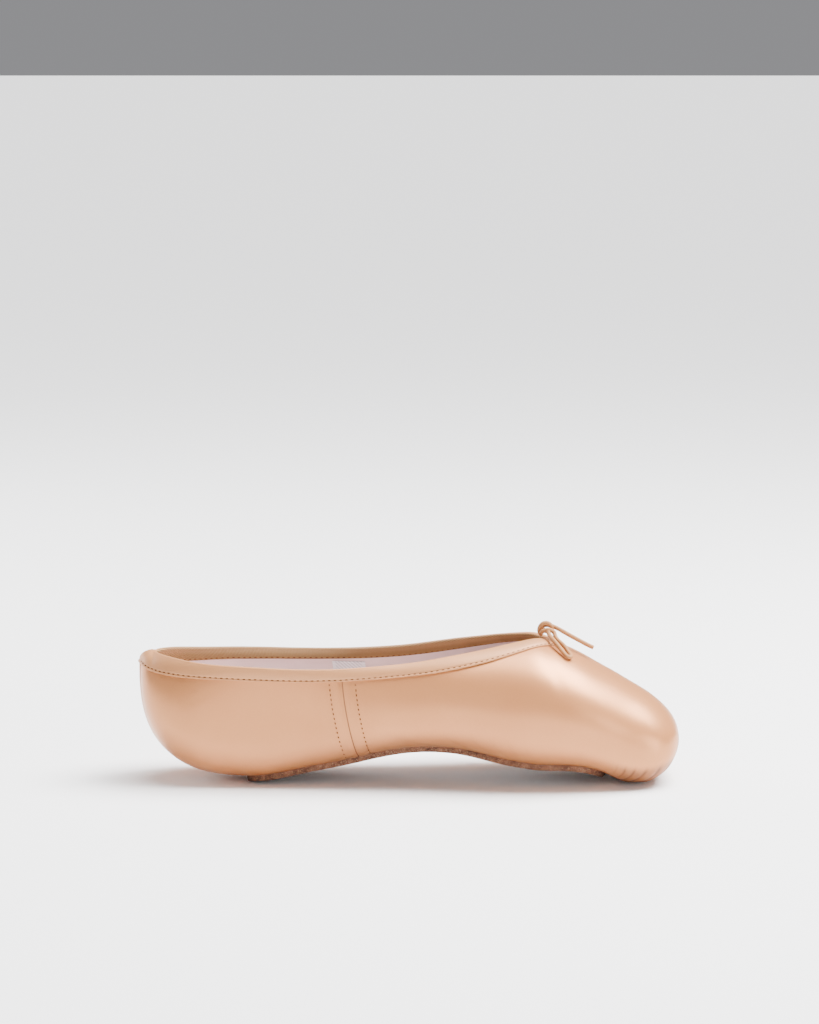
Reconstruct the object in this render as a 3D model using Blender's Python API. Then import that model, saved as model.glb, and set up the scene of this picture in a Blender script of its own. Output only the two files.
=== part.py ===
"""A satin pointe shoe with a drawstring throat, made for either foot.

The shoe stands empty and unbent. The toe points along +X, +Z is up, and the
origin is under the middle of the shoe, on the floor. One last, worked out from
a short table of sections, gives the upper, the soles and the binding.
"""

import math
from collections import namedtuple

import bmesh
import bpy
import numpy as np

# Driving sizes of the last, in metres
LENGTH = 0.2392
BALL_WIDTH = 0.076
HEEL_WIDTH = 0.053
COLLAR_WIDTH = 0.054
HEEL_HEIGHT = 0.054
THROAT_HEIGHT = 0.0632
ARCH_HEIGHT = 0.014
NOSE_HEIGHT = 0.0185
BACK_DROP = 0.004

# Where the collar opening starts behind and ends at the throat
COLLAR_BACK = 0.006
THROAT_SETBACK = 0.059
COLLAR_LIMIT = 0.97  # the opening's widest share of the last's width

# How far each end of the last is rounded, and how full the round is
HEEL_PLAN_ROUND = 0.036
HEEL_UNDER_ROUND = 0.047
HEEL_TOP_ROUND = 0.009
TOE_PLAN_ROUND = 0.027
TOE_TOP_ROUND = 0.018
TOE_UNDER_ROUND = 0.017
COLLAR_BACK_ROUND = 0.040
THROAT_ROUND = 0.061
HEEL_PLAN_FULLNESS = 2.0
HEEL_UNDER_FULLNESS = 2.65
TOE_PLAN_FULLNESS = 3.6
TOE_TOP_FULLNESS = 3.0
TOE_UNDER_FULLNESS = 1.8
COLLAR_BACK_FULLNESS = 2.0
THROAT_FULLNESS = 1.6
CROWN_FULLNESS = 2.2

# Where the wall thickens into the box, as shares of the length
BOX_WALL_START = 0.62
BOX_WALL_FULL = 0.82

# Walls, soles and fits
QUARTER_WALL = 0.0013
BOX_WALL = 0.0030
SOLE_LENGTH = 0.1605
SOLE_SETBACK = 0.047
SOLE_WIDTH = 0.049
SOLE_THICKNESS = 0.0022
INSOLE_SETBACK = 0.022
INSOLE_LENGTH = 0.183
INSOLE_WIDTH = 0.050
INSOLE_THICKNESS = 0.0025
LASTING_MARGIN = 0.0065
FIT_GAP = 0.0003
INSOLE_GAP = 0.0006
FLAT_DEPTH = 0.0004

# Back seam, binding and drawstring
SEAM_WIDTH = 0.0030
SEAM_RISE = 0.0008
SEAM_RUN_OUT = 0.006
BINDING_HEIGHT = 0.0078
BINDING_TURN_IN = 0.0066
BINDING_THICKNESS = 0.0008
BINDING_GAP = 0.0004
BINDING_FOLD = 0.4  # how far the fold's corners stand out, as a share of the strip
CORD_DIAMETER = 0.0019
KNOT_LENGTH = 0.0068
KNOT_WIDTH = 0.0070
KNOT_HEIGHT = 0.0070
KNOT_AHEAD = 0.0010  # how far the knot sits in front of the throat
CORD_STEP = 1.1  # between the points of the cord, in its diameters

# Fineness of the faceted solids
COLUMNS_HEEL = 9
COLUMNS_SIDE = 13
COLUMNS_TOE = 10
ROWS = 23
ARC_SAMPLES = 161
ARC_BULGE = 1.5  # how far the columns swing outwards on their way down
SEAM_TOP_SHARE = 0.8  # of the seam's half width, where its top ends
SEAM_FOOT_SHARE = 1.3  # of the seam's half width, where its foot ends
SOLE_STATIONS = 30
SOLE_BANDS = 8
TABLE_STEPS = 960
TABLE_SOFTNESS = 0.0025

# Where the columns start on the opening's middle line, turn round the spine and
# end on the sole's middle line, as shares of the length from the heel to the toe
OPENING_SPAN = (0.15, 0.67)
SPINE_SPAN = (0.25, 0.79)
SOLE_SPAN = (0.27, 0.79)

# Limits of the arithmetic
CLOSED = 1e-6  # a width that counts as closed
FARTHEST_SHARE = 40.0  # of a section's half width or height
NEAREST_EDGE = 0.999  # of a section's half width
HALVINGS = 40
SLOPE_STEP = 1e-5
MERGE_DISTANCE = 1e-7
SHARP_ANGLE = 45.0

Section = namedtuple(
    "Section",
    "along heel_width ball_width seat arch heel_height throat_height collar belly base",
)

# A row for each section of the last. Widths, heights and the collar are shares of
# the sizes above, seat is a share of the sole under the last, belly is where the
# section is widest and base is how flat its underside is.
SECTIONS = [
    Section(0.000, 1.00, 0.000, 1.00, 0.000, 1.045, 0.000, 0.78, 0.44, 2.2),
    Section(0.042, 1.00, 0.000, 1.00, 0.000, 1.036, 0.000, 0.80, 0.44, 2.2),
    Section(0.083, 1.00, 0.000, 1.00, 0.000, 1.017, 0.000, 0.83, 0.44, 2.3),
    Section(0.125, 1.00, 0.000, 1.00, 0.000, 1.003, 0.000, 0.87, 0.43, 2.5),
    Section(0.188, 1.00, 0.000, 1.00, 0.000, 0.993, 0.000, 0.92, 0.42, 2.8),
    Section(0.225, 0.94, 0.055, 1.00, 0.010, 0.988, 0.000, 0.96, 0.42, 3.0),
    Section(0.250, 0.85, 0.130, 1.00, 0.070, 0.960, 0.020, 0.98, 0.42, 3.0),
    Section(0.308, 0.70, 0.252, 1.00, 0.300, 0.830, 0.126, 1.00, 0.43, 3.0),
    Section(0.358, 0.55, 0.377, 1.00, 0.470, 0.700, 0.238, 0.99, 0.44, 3.0),
    Section(0.408, 0.42, 0.492, 1.00, 0.670, 0.550, 0.374, 0.95, 0.45, 3.0),
    Section(0.463, 0.28, 0.615, 1.00, 0.880, 0.400, 0.516, 0.91, 0.46, 3.0),
    Section(0.500, 0.19, 0.697, 1.00, 0.970, 0.300, 0.615, 0.89, 0.46, 3.0),
    Section(0.546, 0.10, 0.796, 1.00, 1.000, 0.180, 0.742, 0.90, 0.46, 3.0),
    Section(0.592, 0.03, 0.879, 1.00, 0.940, 0.080, 0.856, 0.91, 0.45, 3.0),
    Section(0.625, 0.00, 0.932, 1.00, 0.830, 0.000, 0.943, 0.92, 0.44, 3.0),
    Section(0.675, 0.00, 0.974, 1.00, 0.610, 0.000, 0.975, 0.92, 0.43, 3.0),
    Section(0.708, 0.00, 0.995, 1.00, 0.510, 0.000, 0.992, 0.92, 0.42, 3.0),
    Section(0.733, 0.00, 1.000, 1.00, 0.445, 0.000, 1.000, 0.92, 0.42, 3.0),
    Section(0.754, 0.00, 1.000, 1.00, 0.430, 0.000, 0.985, 0.92, 0.42, 3.0),
    Section(0.779, 0.00, 0.996, 1.00, 0.430, 0.000, 0.944, 0.92, 0.42, 3.0),
    Section(0.808, 0.00, 0.977, 1.00, 0.400, 0.000, 0.898, 0.92, 0.42, 3.0),
    Section(0.833, 0.00, 0.950, 1.00, 0.330, 0.000, 0.846, 0.92, 0.42, 3.0),
    Section(0.863, 0.00, 0.913, 1.00, 0.150, 0.000, 0.781, 0.92, 0.42, 2.9),
    Section(0.885, 0.00, 0.884, 0.58, 0.000, 0.000, 0.736, 0.92, 0.42, 2.8),
    Section(0.906, 0.00, 0.858, 0.08, 0.000, 0.000, 0.687, 0.92, 0.42, 2.7),
    Section(0.929, 0.00, 0.829, 0.00, 0.000, 0.000, 0.636, 0.92, 0.43, 2.6),
    Section(0.965, 0.00, 0.786, 0.00, 0.000, 0.000, 0.552, 0.92, 0.45, 2.5),
    Section(1.000, 0.00, 0.737, 0.00, 0.000, 0.000, 0.472, 0.92, 0.47, 2.4),
]

SoleStation = namedtuple("SoleStation", "along half")

# Half widths of the outsole, as shares of its length and of half its width
SOLE_OUTLINE = [
    SoleStation(0.00, 0.66),
    SoleStation(0.10, 0.69),
    SoleStation(0.22, 0.68),
    SoleStation(0.36, 0.62),
    SoleStation(0.48, 0.61),
    SoleStation(0.58, 0.70),
    SoleStation(0.70, 0.90),
    SoleStation(0.80, 1.00),
    SoleStation(0.90, 1.00),
    SoleStation(1.00, 0.94),
]
SOLE_HEEL_ROUND = 0.007
SOLE_TIP_ROUND = 0.013
SOLE_FULLNESS = 2.3

# Half widths of the insole, as shares of its length and of half its width
INSOLE_OUTLINE = [
    SoleStation(0.00, 0.66),
    SoleStation(0.15, 0.68),
    SoleStation(0.40, 0.70),
    SoleStation(0.60, 0.82),
    SoleStation(0.78, 1.00),
    SoleStation(1.00, 0.92),
]
INSOLE_HEEL_ROUND = 0.020
INSOLE_TIP_ROUND = 0.024

# Routes of the drawstring, in metres in the shoe's own frame
LOOP_ROUTE = [
    (0.0648, -0.0035, 0.0660),
    (0.0655, -0.0048, 0.0643),
    (0.0664, -0.0064, 0.0630),
    (0.0677, -0.0083, 0.0621),
    (0.0692, -0.0102, 0.0609),
    (0.0706, -0.0123, 0.0592),
    (0.0716, -0.0145, 0.0580),
    (0.0719, -0.0165, 0.0573),
    (0.0709, -0.0177, 0.0573),
    (0.0693, -0.0166, 0.0583),
    (0.0677, -0.0146, 0.0600),
    (0.0661, -0.0124, 0.0618),
    (0.0646, -0.0100, 0.0633),
    (0.0635, -0.0077, 0.0643),
    (0.0627, -0.0060, 0.0653),
    (0.0623, -0.0049, 0.0664),
]
END_ROUTE = [
    (0.0668, -0.0005, 0.0670),
    (0.0692, -0.0008, 0.0657),
    (0.0722, -0.0010, 0.0640),
    (0.0755, -0.0011, 0.0622),
    (0.0790, -0.0011, 0.0603),
    (0.0826, -0.0010, 0.0585),
]


def clear_scene():
    """Remove what the start-up file holds."""
    for item in list(bpy.data.objects):
        bpy.data.objects.remove(item)


def finish(name, colour, roughness, metallic=0.0):
    """A plain surface finish."""
    material = bpy.data.materials.new(name)
    material.use_nodes = True
    shader = material.node_tree.nodes["Principled BSDF"]
    shader.inputs["Base Color"].default_value = (*colour, 1.0)
    shader.inputs["Roughness"].default_value = roughness
    shader.inputs["Metallic"].default_value = metallic
    return material


def add_object(name, mesh, material):
    """Put a mesh in the scene under a plain name, shaded smooth."""
    item = bpy.data.objects.new(name, mesh)
    mesh.materials.append(material)
    mesh.shade_smooth()
    mesh.set_sharp_from_angle(angle=math.radians(SHARP_ANGLE))
    bpy.context.scene.collection.objects.link(item)
    return item


def rounded(distance, reach, fullness):
    """Rise from 0 at an end to 1 one reach away, along a rounded corner."""
    left = np.clip(1.0 - distance / reach, 0.0, 1.0)
    return (1.0 - left**fullness) ** (1.0 / fullness)


def curve_through(places, values, wanted):
    """Natural cubic curve through a few points."""
    places = np.asarray(places, float)
    values = np.asarray(values, float)
    steps = np.diff(places)
    slopes = np.diff(values) / steps
    count = len(places)
    matrix = np.eye(count)
    right = np.zeros(count)
    for i in range(1, count - 1):
        matrix[i, i - 1 : i + 2] = steps[i - 1], 2 * (steps[i - 1] + steps[i]), steps[i]
        right[i] = 6 * (slopes[i] - slopes[i - 1])
    bends = np.linalg.solve(matrix, right)
    i = np.clip(np.searchsorted(places, wanted) - 1, 0, count - 2)
    before = wanted - places[i]
    after = places[i + 1] - wanted
    step = steps[i]
    return (
        (bends[i] * after**3 + bends[i + 1] * before**3) / (6 * step)
        + (values[i] / step - bends[i] * step / 6) * after
        + (values[i + 1] / step - bends[i + 1] * step / 6) * before
    )


def soft_table(places, values, length):
    """The curve through a table's values, read finely and softened a little."""
    shares = np.linspace(0.0, 1.0, TABLE_STEPS + 1)
    fine = curve_through(places, values, shares)
    spread = TABLE_SOFTNESS / length * TABLE_STEPS
    reach = int(3 * spread)
    weights = np.exp(-0.5 * (np.arange(-reach, reach + 1) / spread) ** 2)
    padded = np.pad(fine, reach, mode="reflect", reflect_type="odd")
    return np.convolve(padded, weights / weights.sum(), mode="valid")


def read_table(table, along):
    """Read a soft table at shares of its length."""
    return np.interp(along, np.linspace(0.0, 1.0, len(table)), table)


def column(name):
    """One column of the section table, softened."""
    places = [row.along for row in SECTIONS]
    return soft_table(places, [getattr(row, name) for row in SECTIONS], LENGTH)


COLUMN = {name: column(name) for name in Section._fields if name != "along"}
SEAT = SOLE_THICKNESS + FIT_GAP
BACK_HEIGHT = HEEL_HEIGHT - BACK_DROP


def section(x):
    """Sizes of the last's section at a distance from the back of the heel."""
    along = np.clip(x / LENGTH, 0.0, 1.0)
    share = {name: read_table(table, along) for name, table in COLUMN.items()}
    toe = LENGTH - x
    half = 0.5 * (HEEL_WIDTH * share["heel_width"] + BALL_WIDTH * share["ball_width"])
    half = half * rounded(x, HEEL_PLAN_ROUND, HEEL_PLAN_FULLNESS)
    half = half * rounded(toe, TOE_PLAN_ROUND, TOE_PLAN_FULLNESS)
    half = np.maximum(half, CLOSED)
    floor = SEAT * share["seat"] + ARCH_HEIGHT * share["arch"] - FLAT_DEPTH
    heel_under = rounded(x, HEEL_UNDER_ROUND, HEEL_UNDER_FULLNESS)
    toe_under = rounded(toe, TOE_UNDER_ROUND, TOE_UNDER_FULLNESS)
    floor = BACK_HEIGHT + (floor - BACK_HEIGHT) * heel_under
    floor = NOSE_HEIGHT + (floor - NOSE_HEIGHT) * toe_under
    edge = HEEL_HEIGHT * share["heel_height"] + THROAT_HEIGHT * share["throat_height"]
    heel_top = rounded(x, HEEL_TOP_ROUND, HEEL_UNDER_FULLNESS)
    toe_top = rounded(toe, TOE_TOP_ROUND, TOE_TOP_FULLNESS)
    edge = BACK_HEIGHT + (edge - BACK_HEIGHT) * heel_top
    edge = NOSE_HEIGHT + (edge - NOSE_HEIGHT) * toe_top
    collar = 0.5 * COLLAR_WIDTH * share["collar"]
    collar = collar * rounded(x - COLLAR_BACK, COLLAR_BACK_ROUND, COLLAR_BACK_FULLNESS)
    throat = LENGTH - THROAT_SETBACK - x
    collar = collar * rounded(throat, THROAT_ROUND, THROAT_FULLNESS)
    collar = np.minimum(collar, COLLAR_LIMIT * half)
    belly = floor + share["belly"] * (edge - floor)
    lean = (1.0 - (collar / half) ** CROWN_FULLNESS) ** (1.0 / CROWN_FULLNESS)
    crown = belly + (edge - belly) / lean
    return half, floor, edge, collar, belly, crown, share["base"]


def outside(points):
    """Below zero inside the last, zero on it and above zero outside."""
    x, y, z = points[..., 0], points[..., 1], points[..., 2]
    half, floor, edge, collar, belly, crown, base = section(x)
    across = np.minimum(np.abs(y) / half, FARTHEST_SHARE)
    up = np.clip((z - belly) / np.maximum(crown - belly, CLOSED), 0.0, FARTHEST_SHARE)
    down = np.clip((belly - z) / np.maximum(belly - floor, CLOSED), 0.0, FARTHEST_SHARE)
    above = across**CROWN_FULLNESS + up**CROWN_FULLNESS - 1.0
    below = across**base + down**base - 1.0
    value = np.where(z > belly, above, below)
    return np.where((x <= 0.0) | (x >= LENGTH), 1.0, value)


def reach_out(start, direction, test):
    """Distance along each direction at which a test turns from below to above zero."""
    near = np.zeros(direction.shape[:-1])
    far = np.full(direction.shape[:-1], LENGTH)
    for _ in range(HALVINGS):
        middle = 0.5 * (near + far)
        beyond = test(start + direction * middle[..., None]) > 0.0
        far = np.where(beyond, middle, far)
        near = np.where(beyond, near, middle)
    return 0.5 * (near + far)


def underside(x, y):
    """Height of the last's underside."""
    half, floor, edge, collar, belly, crown, base = section(x)
    across = np.clip(np.abs(y) / half, 0.0, NEAREST_EDGE)
    return belly - (belly - floor) * (1.0 - across**base) ** (1.0 / base)


def wall_at(x):
    """Thickness of the upper, which grows from the quarters to the stiffened box."""
    grown = (x / LENGTH - BOX_WALL_START) / (BOX_WALL_FULL - BOX_WALL_START)
    t = np.clip(grown, 0.0, 1.0)
    return QUARTER_WALL + (BOX_WALL - QUARTER_WALL) * t * t * (3.0 - 2.0 * t)


def outline_table(stations, length):
    """Soft table of a sole's half widths."""
    places = [row.along for row in stations]
    return soft_table(places, [row.half for row in stations], length)


SOLE_TABLE = outline_table(SOLE_OUTLINE, SOLE_LENGTH)
INSOLE_TABLE = outline_table(INSOLE_OUTLINE, INSOLE_LENGTH)


def sole_half(x, inset=0.0):
    """Half width of the outsole's outline, or of one drawn inside it."""
    start = SOLE_SETBACK + inset
    length = SOLE_LENGTH - 2 * inset
    half = 0.5 * SOLE_WIDTH * read_table(SOLE_TABLE, (x - SOLE_SETBACK) / SOLE_LENGTH)
    ends = rounded(x - start, SOLE_HEEL_ROUND, SOLE_FULLNESS)
    ends = ends * rounded(start + length - x, SOLE_TIP_ROUND, SOLE_FULLNESS)
    return np.maximum(half - inset, 0.0) * ends


def insole_half(x):
    """Half width of the insole's outline."""
    half = 0.5 * INSOLE_WIDTH * read_table(INSOLE_TABLE, (x - INSOLE_SETBACK) / INSOLE_LENGTH)
    ends = rounded(x - INSOLE_SETBACK, INSOLE_HEEL_ROUND, SOLE_FULLNESS)
    ends = ends * rounded(INSOLE_SETBACK + INSOLE_LENGTH - x, INSOLE_TIP_ROUND, SOLE_FULLNESS)
    return half * ends


def loop_stations():
    """Places around the shoe, from the heel seam along one side to the toe and back.

    Each place is the share of the way along the side, from 0 at the heel's fan to 1
    at the toe's fan, with its direction in plan.
    """
    seam_turn = math.degrees(SEAM_WIDTH / 2 / HEEL_HEIGHT)
    turns = [0.0, SEAM_TOP_SHARE * seam_turn, SEAM_FOOT_SHARE * seam_turn]
    turns += list(np.linspace(0.0, 90.0, COLUMNS_HEEL + 1)[1:])
    places = [(0.0, (-math.cos(math.radians(t)), -math.sin(math.radians(t)))) for t in turns]
    places += [(share, (0.0, -1.0)) for share in np.linspace(0.0, 1.0, COLUMNS_SIDE + 1)[1:]]
    for turn in np.linspace(90.0, 0.0, COLUMNS_TOE + 1)[1:]:
        places.append((1.0, (math.cos(math.radians(turn)), -math.sin(math.radians(turn)))))
    back = [(share, (dx, -dy)) for share, (dx, dy) in places[1:-1]]
    return places + back[::-1]


def open_collar(points):
    """Below zero over the collar's opening and above zero beside it."""
    return np.abs(points[..., 1]) - section(points[..., 0])[3] + CLOSED


def open_sole(points):
    """Below zero over the opening that the outsole closes and above zero beside it."""
    return np.abs(points[..., 1]) - sole_half(points[..., 0], LASTING_MARGIN) + CLOSED


def last_arcs():
    """Arcs over the last, each from the collar's edge to the sole opening's edge.

    Returns the points of each arc, evenly spread, with the last's outward normals.
    """
    places = loop_stations()
    share = np.array([p[0] for p in places])
    plan = np.array([(*p[1], 0.0) for p in places])

    def on_axis(span):
        axis = np.zeros((len(places), 3))
        axis[:, 0] = LENGTH * (span[0] + (span[1] - span[0]) * share)
        return axis

    top = on_axis(OPENING_SPAN)
    edge = top + plan * reach_out(top, plan, open_collar)[:, None]
    edge[:, 2] = section(edge[:, 0])[2]
    under = on_axis(SOLE_SPAN)
    lip = under + plan * reach_out(under, plan, open_sole)[:, None]
    lip[:, 2] = underside(lip[:, 0], lip[:, 1])
    middle = on_axis(SPINE_SPAN)
    _, floor, height, *_ = section(middle[:, 0])
    middle[:, 2] = 0.5 * (floor + height)

    first = edge - middle
    first = (first / np.linalg.norm(first, axis=1, keepdims=True))[:, None, :]
    last = lip - middle
    last = (last / np.linalg.norm(last, axis=1, keepdims=True))[:, None, :]
    way = np.linspace(0.0, 1.0, ARC_SAMPLES)[None, :, None]
    bulge = 2.0 * ARC_BULGE * way * (1.0 - way) * plan[:, None, :]
    rays = (1.0 - way) ** 2 * first + bulge + way**2 * last
    rays = rays / np.linalg.norm(rays, axis=2, keepdims=True)
    start = middle[:, None, :]
    arcs = start + rays * reach_out(start, rays, outside)[..., None]

    along = np.gradient(arcs, axis=1)
    across = np.roll(arcs, -1, axis=0) - np.roll(arcs, 1, axis=0)
    normals = np.cross(along, across)
    normals = normals / np.linalg.norm(normals, axis=2, keepdims=True)
    outward = np.sum(normals * (arcs - start), axis=2, keepdims=True)
    return arcs, normals * np.where(outward < 0.0, -1.0, 1.0)


def seam_rise(column, count, x):
    """How far the back seam stands proud, until it runs out in front of the sole."""
    if min(column, count - column) > 1:
        return np.zeros(len(x))
    left = SOLE_SETBACK - SEAM_RUN_OUT - x
    return SEAM_RISE * np.clip(left / SEAM_RUN_OUT, 0.0, 1.0)


def along_arc(arc, normals, distances):
    """Points and normals at distances along one arc from the collar's edge."""
    steps = np.linalg.norm(np.diff(arc, axis=0), axis=1)
    run = np.concatenate([[0.0], np.cumsum(steps)])
    points = np.stack([np.interp(distances, run, arc[:, i]) for i in range(3)], axis=1)
    facing = np.stack([np.interp(distances, run, normals[:, i]) for i in range(3)], axis=1)
    return points, facing / np.linalg.norm(facing, axis=1, keepdims=True)


def arc_length(arc):
    """Length of one arc."""
    return float(np.linalg.norm(np.diff(arc, axis=0), axis=1).sum())


def to_frame(points):
    """Carry points from the back of the heel to the shoe's own frame."""
    moved = np.array(points, float)
    moved[..., 0] -= 0.5 * (LENGTH - SEAM_RISE - BINDING_GAP - BINDING_THICKNESS)
    return moved


def ring_solid(name, rings, material):
    """A closed solid from rings of points that follow each other round a section.

    A flat grid is rolled up both ways: once round the shoe and once round the section.
    """
    ring_count, point_count = rings.shape[:2]
    mesh = bmesh.new()
    bmesh.ops.create_grid(mesh, x_segments=point_count, y_segments=ring_count, size=0.5)
    for vertex in mesh.verts:
        i = round((vertex.co.x + 0.5) * point_count) % point_count
        k = round((vertex.co.y + 0.5) * ring_count) % ring_count
        vertex.co = rings[k, i]
    bmesh.ops.remove_doubles(mesh, verts=mesh.verts, dist=MERGE_DISTANCE)
    bmesh.ops.recalc_face_normals(mesh, faces=mesh.faces)
    data = bpy.data.meshes.new(name)
    mesh.to_mesh(data)
    mesh.free()
    return add_object(name, data, material)


def make_upper(arcs, normals, material):
    """The hollow upper: box, vamp, wings and quarters lasted in one piece."""
    outer = []
    inner = []
    for i, (arc, facing) in enumerate(zip(arcs, normals)):
        below = np.linspace(BINDING_HEIGHT, arc_length(arc), ROWS - 1)
        rows = np.concatenate([[0.0, 0.5 * BINDING_HEIGHT], below])
        points, out = along_arc(arc, facing, rows)
        wall = wall_at(points[:, 0])[:, None]
        inner.append(points - out * wall)
        raised = points + out * seam_rise(i, len(arcs), points[:, 0])[:, None]
        raised[:, 2] = np.maximum(raised[:, 2], 0.0)
        outer.append(raised)
    outer = np.array(outer).transpose(1, 0, 2)
    inner = np.array(inner).transpose(1, 0, 2)
    rings = np.concatenate([outer, inner[::-1]])
    return ring_solid("upper", to_frame(rings), material)


def make_binding(arcs, normals, material):
    """The bias strip folded over the collar's edge, which hides the casing."""
    near, far = BINDING_GAP, BINDING_GAP + BINDING_THICKNESS
    strips = []
    for i, (arc, facing) in enumerate(zip(arcs, normals)):
        rise = float(seam_rise(i, len(arcs), np.zeros(1))[0])
        fall = np.array([BINDING_HEIGHT, 0.5 * BINDING_HEIGHT, 0.0])
        outside_points, outward = along_arc(arc, facing, fall)
        turn = np.array([0.0, 0.5 * BINDING_HEIGHT, BINDING_TURN_IN])
        inside_points, inward = along_arc(arc, facing, turn)
        wall = wall_at(inside_points[:, 0])[:, None]
        top, top_out = outside_points[-1], outward[-1]
        up = top - outside_points[-2]
        up = up / np.linalg.norm(up)
        thick = wall[0]
        section_points = [
            *(outside_points + outward * (far + rise)),
            top + top_out * (BINDING_FOLD * far + rise) + up * far,
            top - top_out * (thick + BINDING_FOLD * far) + up * far,
            *(inside_points - inward * (wall + far)),
            *(inside_points - inward * (wall + near))[::-1],
            top - top_out * thick + up * near,
            top + top_out * rise + up * near,
            *(outside_points + outward * (near + rise))[::-1],
        ]
        strips.append(section_points)
    rings = np.array(strips).transpose(1, 0, 2)
    return ring_solid("binding", to_frame(rings), material)


def make_sole(name, start, length, half_at, near, thickness, side, material):
    """A sole board that follows the last's underside.

    side is +1 for a board under the last and -1 for one inside it, and near is the
    distance from the last's surface to the board.
    """
    mesh = bmesh.new()
    bmesh.ops.create_grid(mesh, x_segments=SOLE_STATIONS, y_segments=SOLE_BANDS, size=1.0)
    for vertex in mesh.verts:
        x = start + length * 0.5 * (1.0 - math.cos(math.pi * 0.5 * (vertex.co.x + 1.0)))
        across = math.sin(0.5 * math.pi * vertex.co.y)
        vertex.co = (x, across * float(half_at(np.array(x))), 0.0)
    bmesh.ops.remove_doubles(mesh, verts=mesh.verts, dist=MERGE_DISTANCE)
    faces = list(mesh.faces)
    grown = bmesh.ops.extrude_face_region(mesh, geom=faces, use_keep_orig=True)
    far_side = {v for v in grown["geom"] if isinstance(v, bmesh.types.BMVert)}
    step = SLOPE_STEP
    for vertex in mesh.verts:
        x, y = vertex.co.x, vertex.co.y
        z = float(underside(np.array(x), np.array(y)))
        slope_x = float(underside(np.array(x + step), y) - underside(np.array(x - step), y))
        slope_y = float(underside(np.array(x), y + step) - underside(np.array(x), y - step))
        down = np.array([slope_x, slope_y, -2.0 * step])
        down = down / np.linalg.norm(down)
        depth = float(near(x)) + (thickness if vertex in far_side else 0.0)
        point = np.array([x, y, z]) + down * side * depth
        point[2] = max(point[2], 0.0)
        vertex.co = to_frame(point)
    bmesh.ops.recalc_face_normals(mesh, faces=mesh.faces)
    data = bpy.data.meshes.new(name)
    mesh.to_mesh(data)
    mesh.free()
    return add_object(name, data, material)


def make_knot(material):
    """The knot of the drawstring, as one plain lump on the throat."""
    mesh = bmesh.new()
    bmesh.ops.create_icosphere(mesh, subdivisions=2, radius=0.5)
    bmesh.ops.scale(mesh, vec=(KNOT_LENGTH, KNOT_WIDTH, KNOT_HEIGHT), verts=mesh.verts)
    throat = LENGTH - THROAT_SETBACK
    top = float(section(np.array(throat))[2]) + BINDING_GAP + BINDING_THICKNESS
    lift = top + FIT_GAP + 0.5 * KNOT_HEIGHT
    place = to_frame((throat + KNOT_AHEAD, 0.0, lift))
    bmesh.ops.translate(mesh, vec=place, verts=mesh.verts)
    data = bpy.data.meshes.new("drawstring_knot")
    mesh.to_mesh(data)
    mesh.free()
    return add_object("drawstring_knot", data, material)


def make_cord(name, route, material):
    """A stretch of the drawstring, as a tube on a smooth curve through its route."""
    route = np.array(route)
    run = np.concatenate([[0.0], np.cumsum(np.linalg.norm(np.diff(route, axis=0), axis=1))])
    count = int(run[-1] / (CORD_DIAMETER * CORD_STEP)) + 1
    wanted = np.linspace(0.0, run[-1], count)
    smooth = np.stack([curve_through(run, route[:, i], wanted) for i in range(3)], axis=1)
    curve = bpy.data.curves.new(name, "CURVE")
    curve.dimensions = "3D"
    curve.bevel_depth = 0.5 * CORD_DIAMETER
    curve.bevel_resolution = 2
    curve.use_fill_caps = True
    spline = curve.splines.new("POLY")
    spline.points.add(count - 1)
    for point, place in zip(spline.points, smooth):
        point.co = (*place, 1.0)
    curve.materials.append(material)
    item = bpy.data.objects.new(name, curve)
    bpy.context.scene.collection.objects.link(item)
    return item


def outsole_depth(x):
    """From the last down to the outsole."""
    return FIT_GAP


def insole_depth(x):
    """From the last in to the insole, through the upper's wall."""
    return wall_at(x) + INSOLE_GAP


def make_shoe():
    """Make every piece of the shoe."""
    clear_scene()
    satin = finish("satin", (0.72, 0.50, 0.36), 0.35)
    leather = finish("sole_leather", (0.42, 0.22, 0.13), 0.75)
    board = finish("insole_board", (0.60, 0.55, 0.52), 0.80)
    ribbon = finish("binding_cloth", (0.62, 0.43, 0.30), 0.50)
    cord = finish("drawstring_cord", (0.62, 0.38, 0.24), 0.60)
    arcs, normals = last_arcs()
    make_upper(arcs, normals, satin)
    make_binding(arcs, normals, ribbon)
    make_sole(
        "outsole", SOLE_SETBACK, SOLE_LENGTH, sole_half,
        outsole_depth, SOLE_THICKNESS, 1.0, leather,
    )
    make_sole(
        "insole", INSOLE_SETBACK, INSOLE_LENGTH, insole_half,
        insole_depth, INSOLE_THICKNESS, -1.0, board,
    )
    make_knot(cord)
    make_cord("drawstring_loop", LOOP_ROUTE, cord)
    make_cord("drawstring_end", END_ROUTE, cord)


make_shoe()
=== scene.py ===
# %% [markdown]
# # A satin pointe shoe
#
# The packed solids say where each piece of the shoe is and how large it is.
# This lesson dresses them: peach satin over a stiff box, a bound collar with
# its drawstring, a thin leather outsole and the cotton lining that shows
# inside. Everything is in metres, with the toe along +X and +Z up.

import math
from collections import namedtuple

import bmesh
import bpy
import numpy as np
from mathutils import Matrix, Vector


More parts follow.
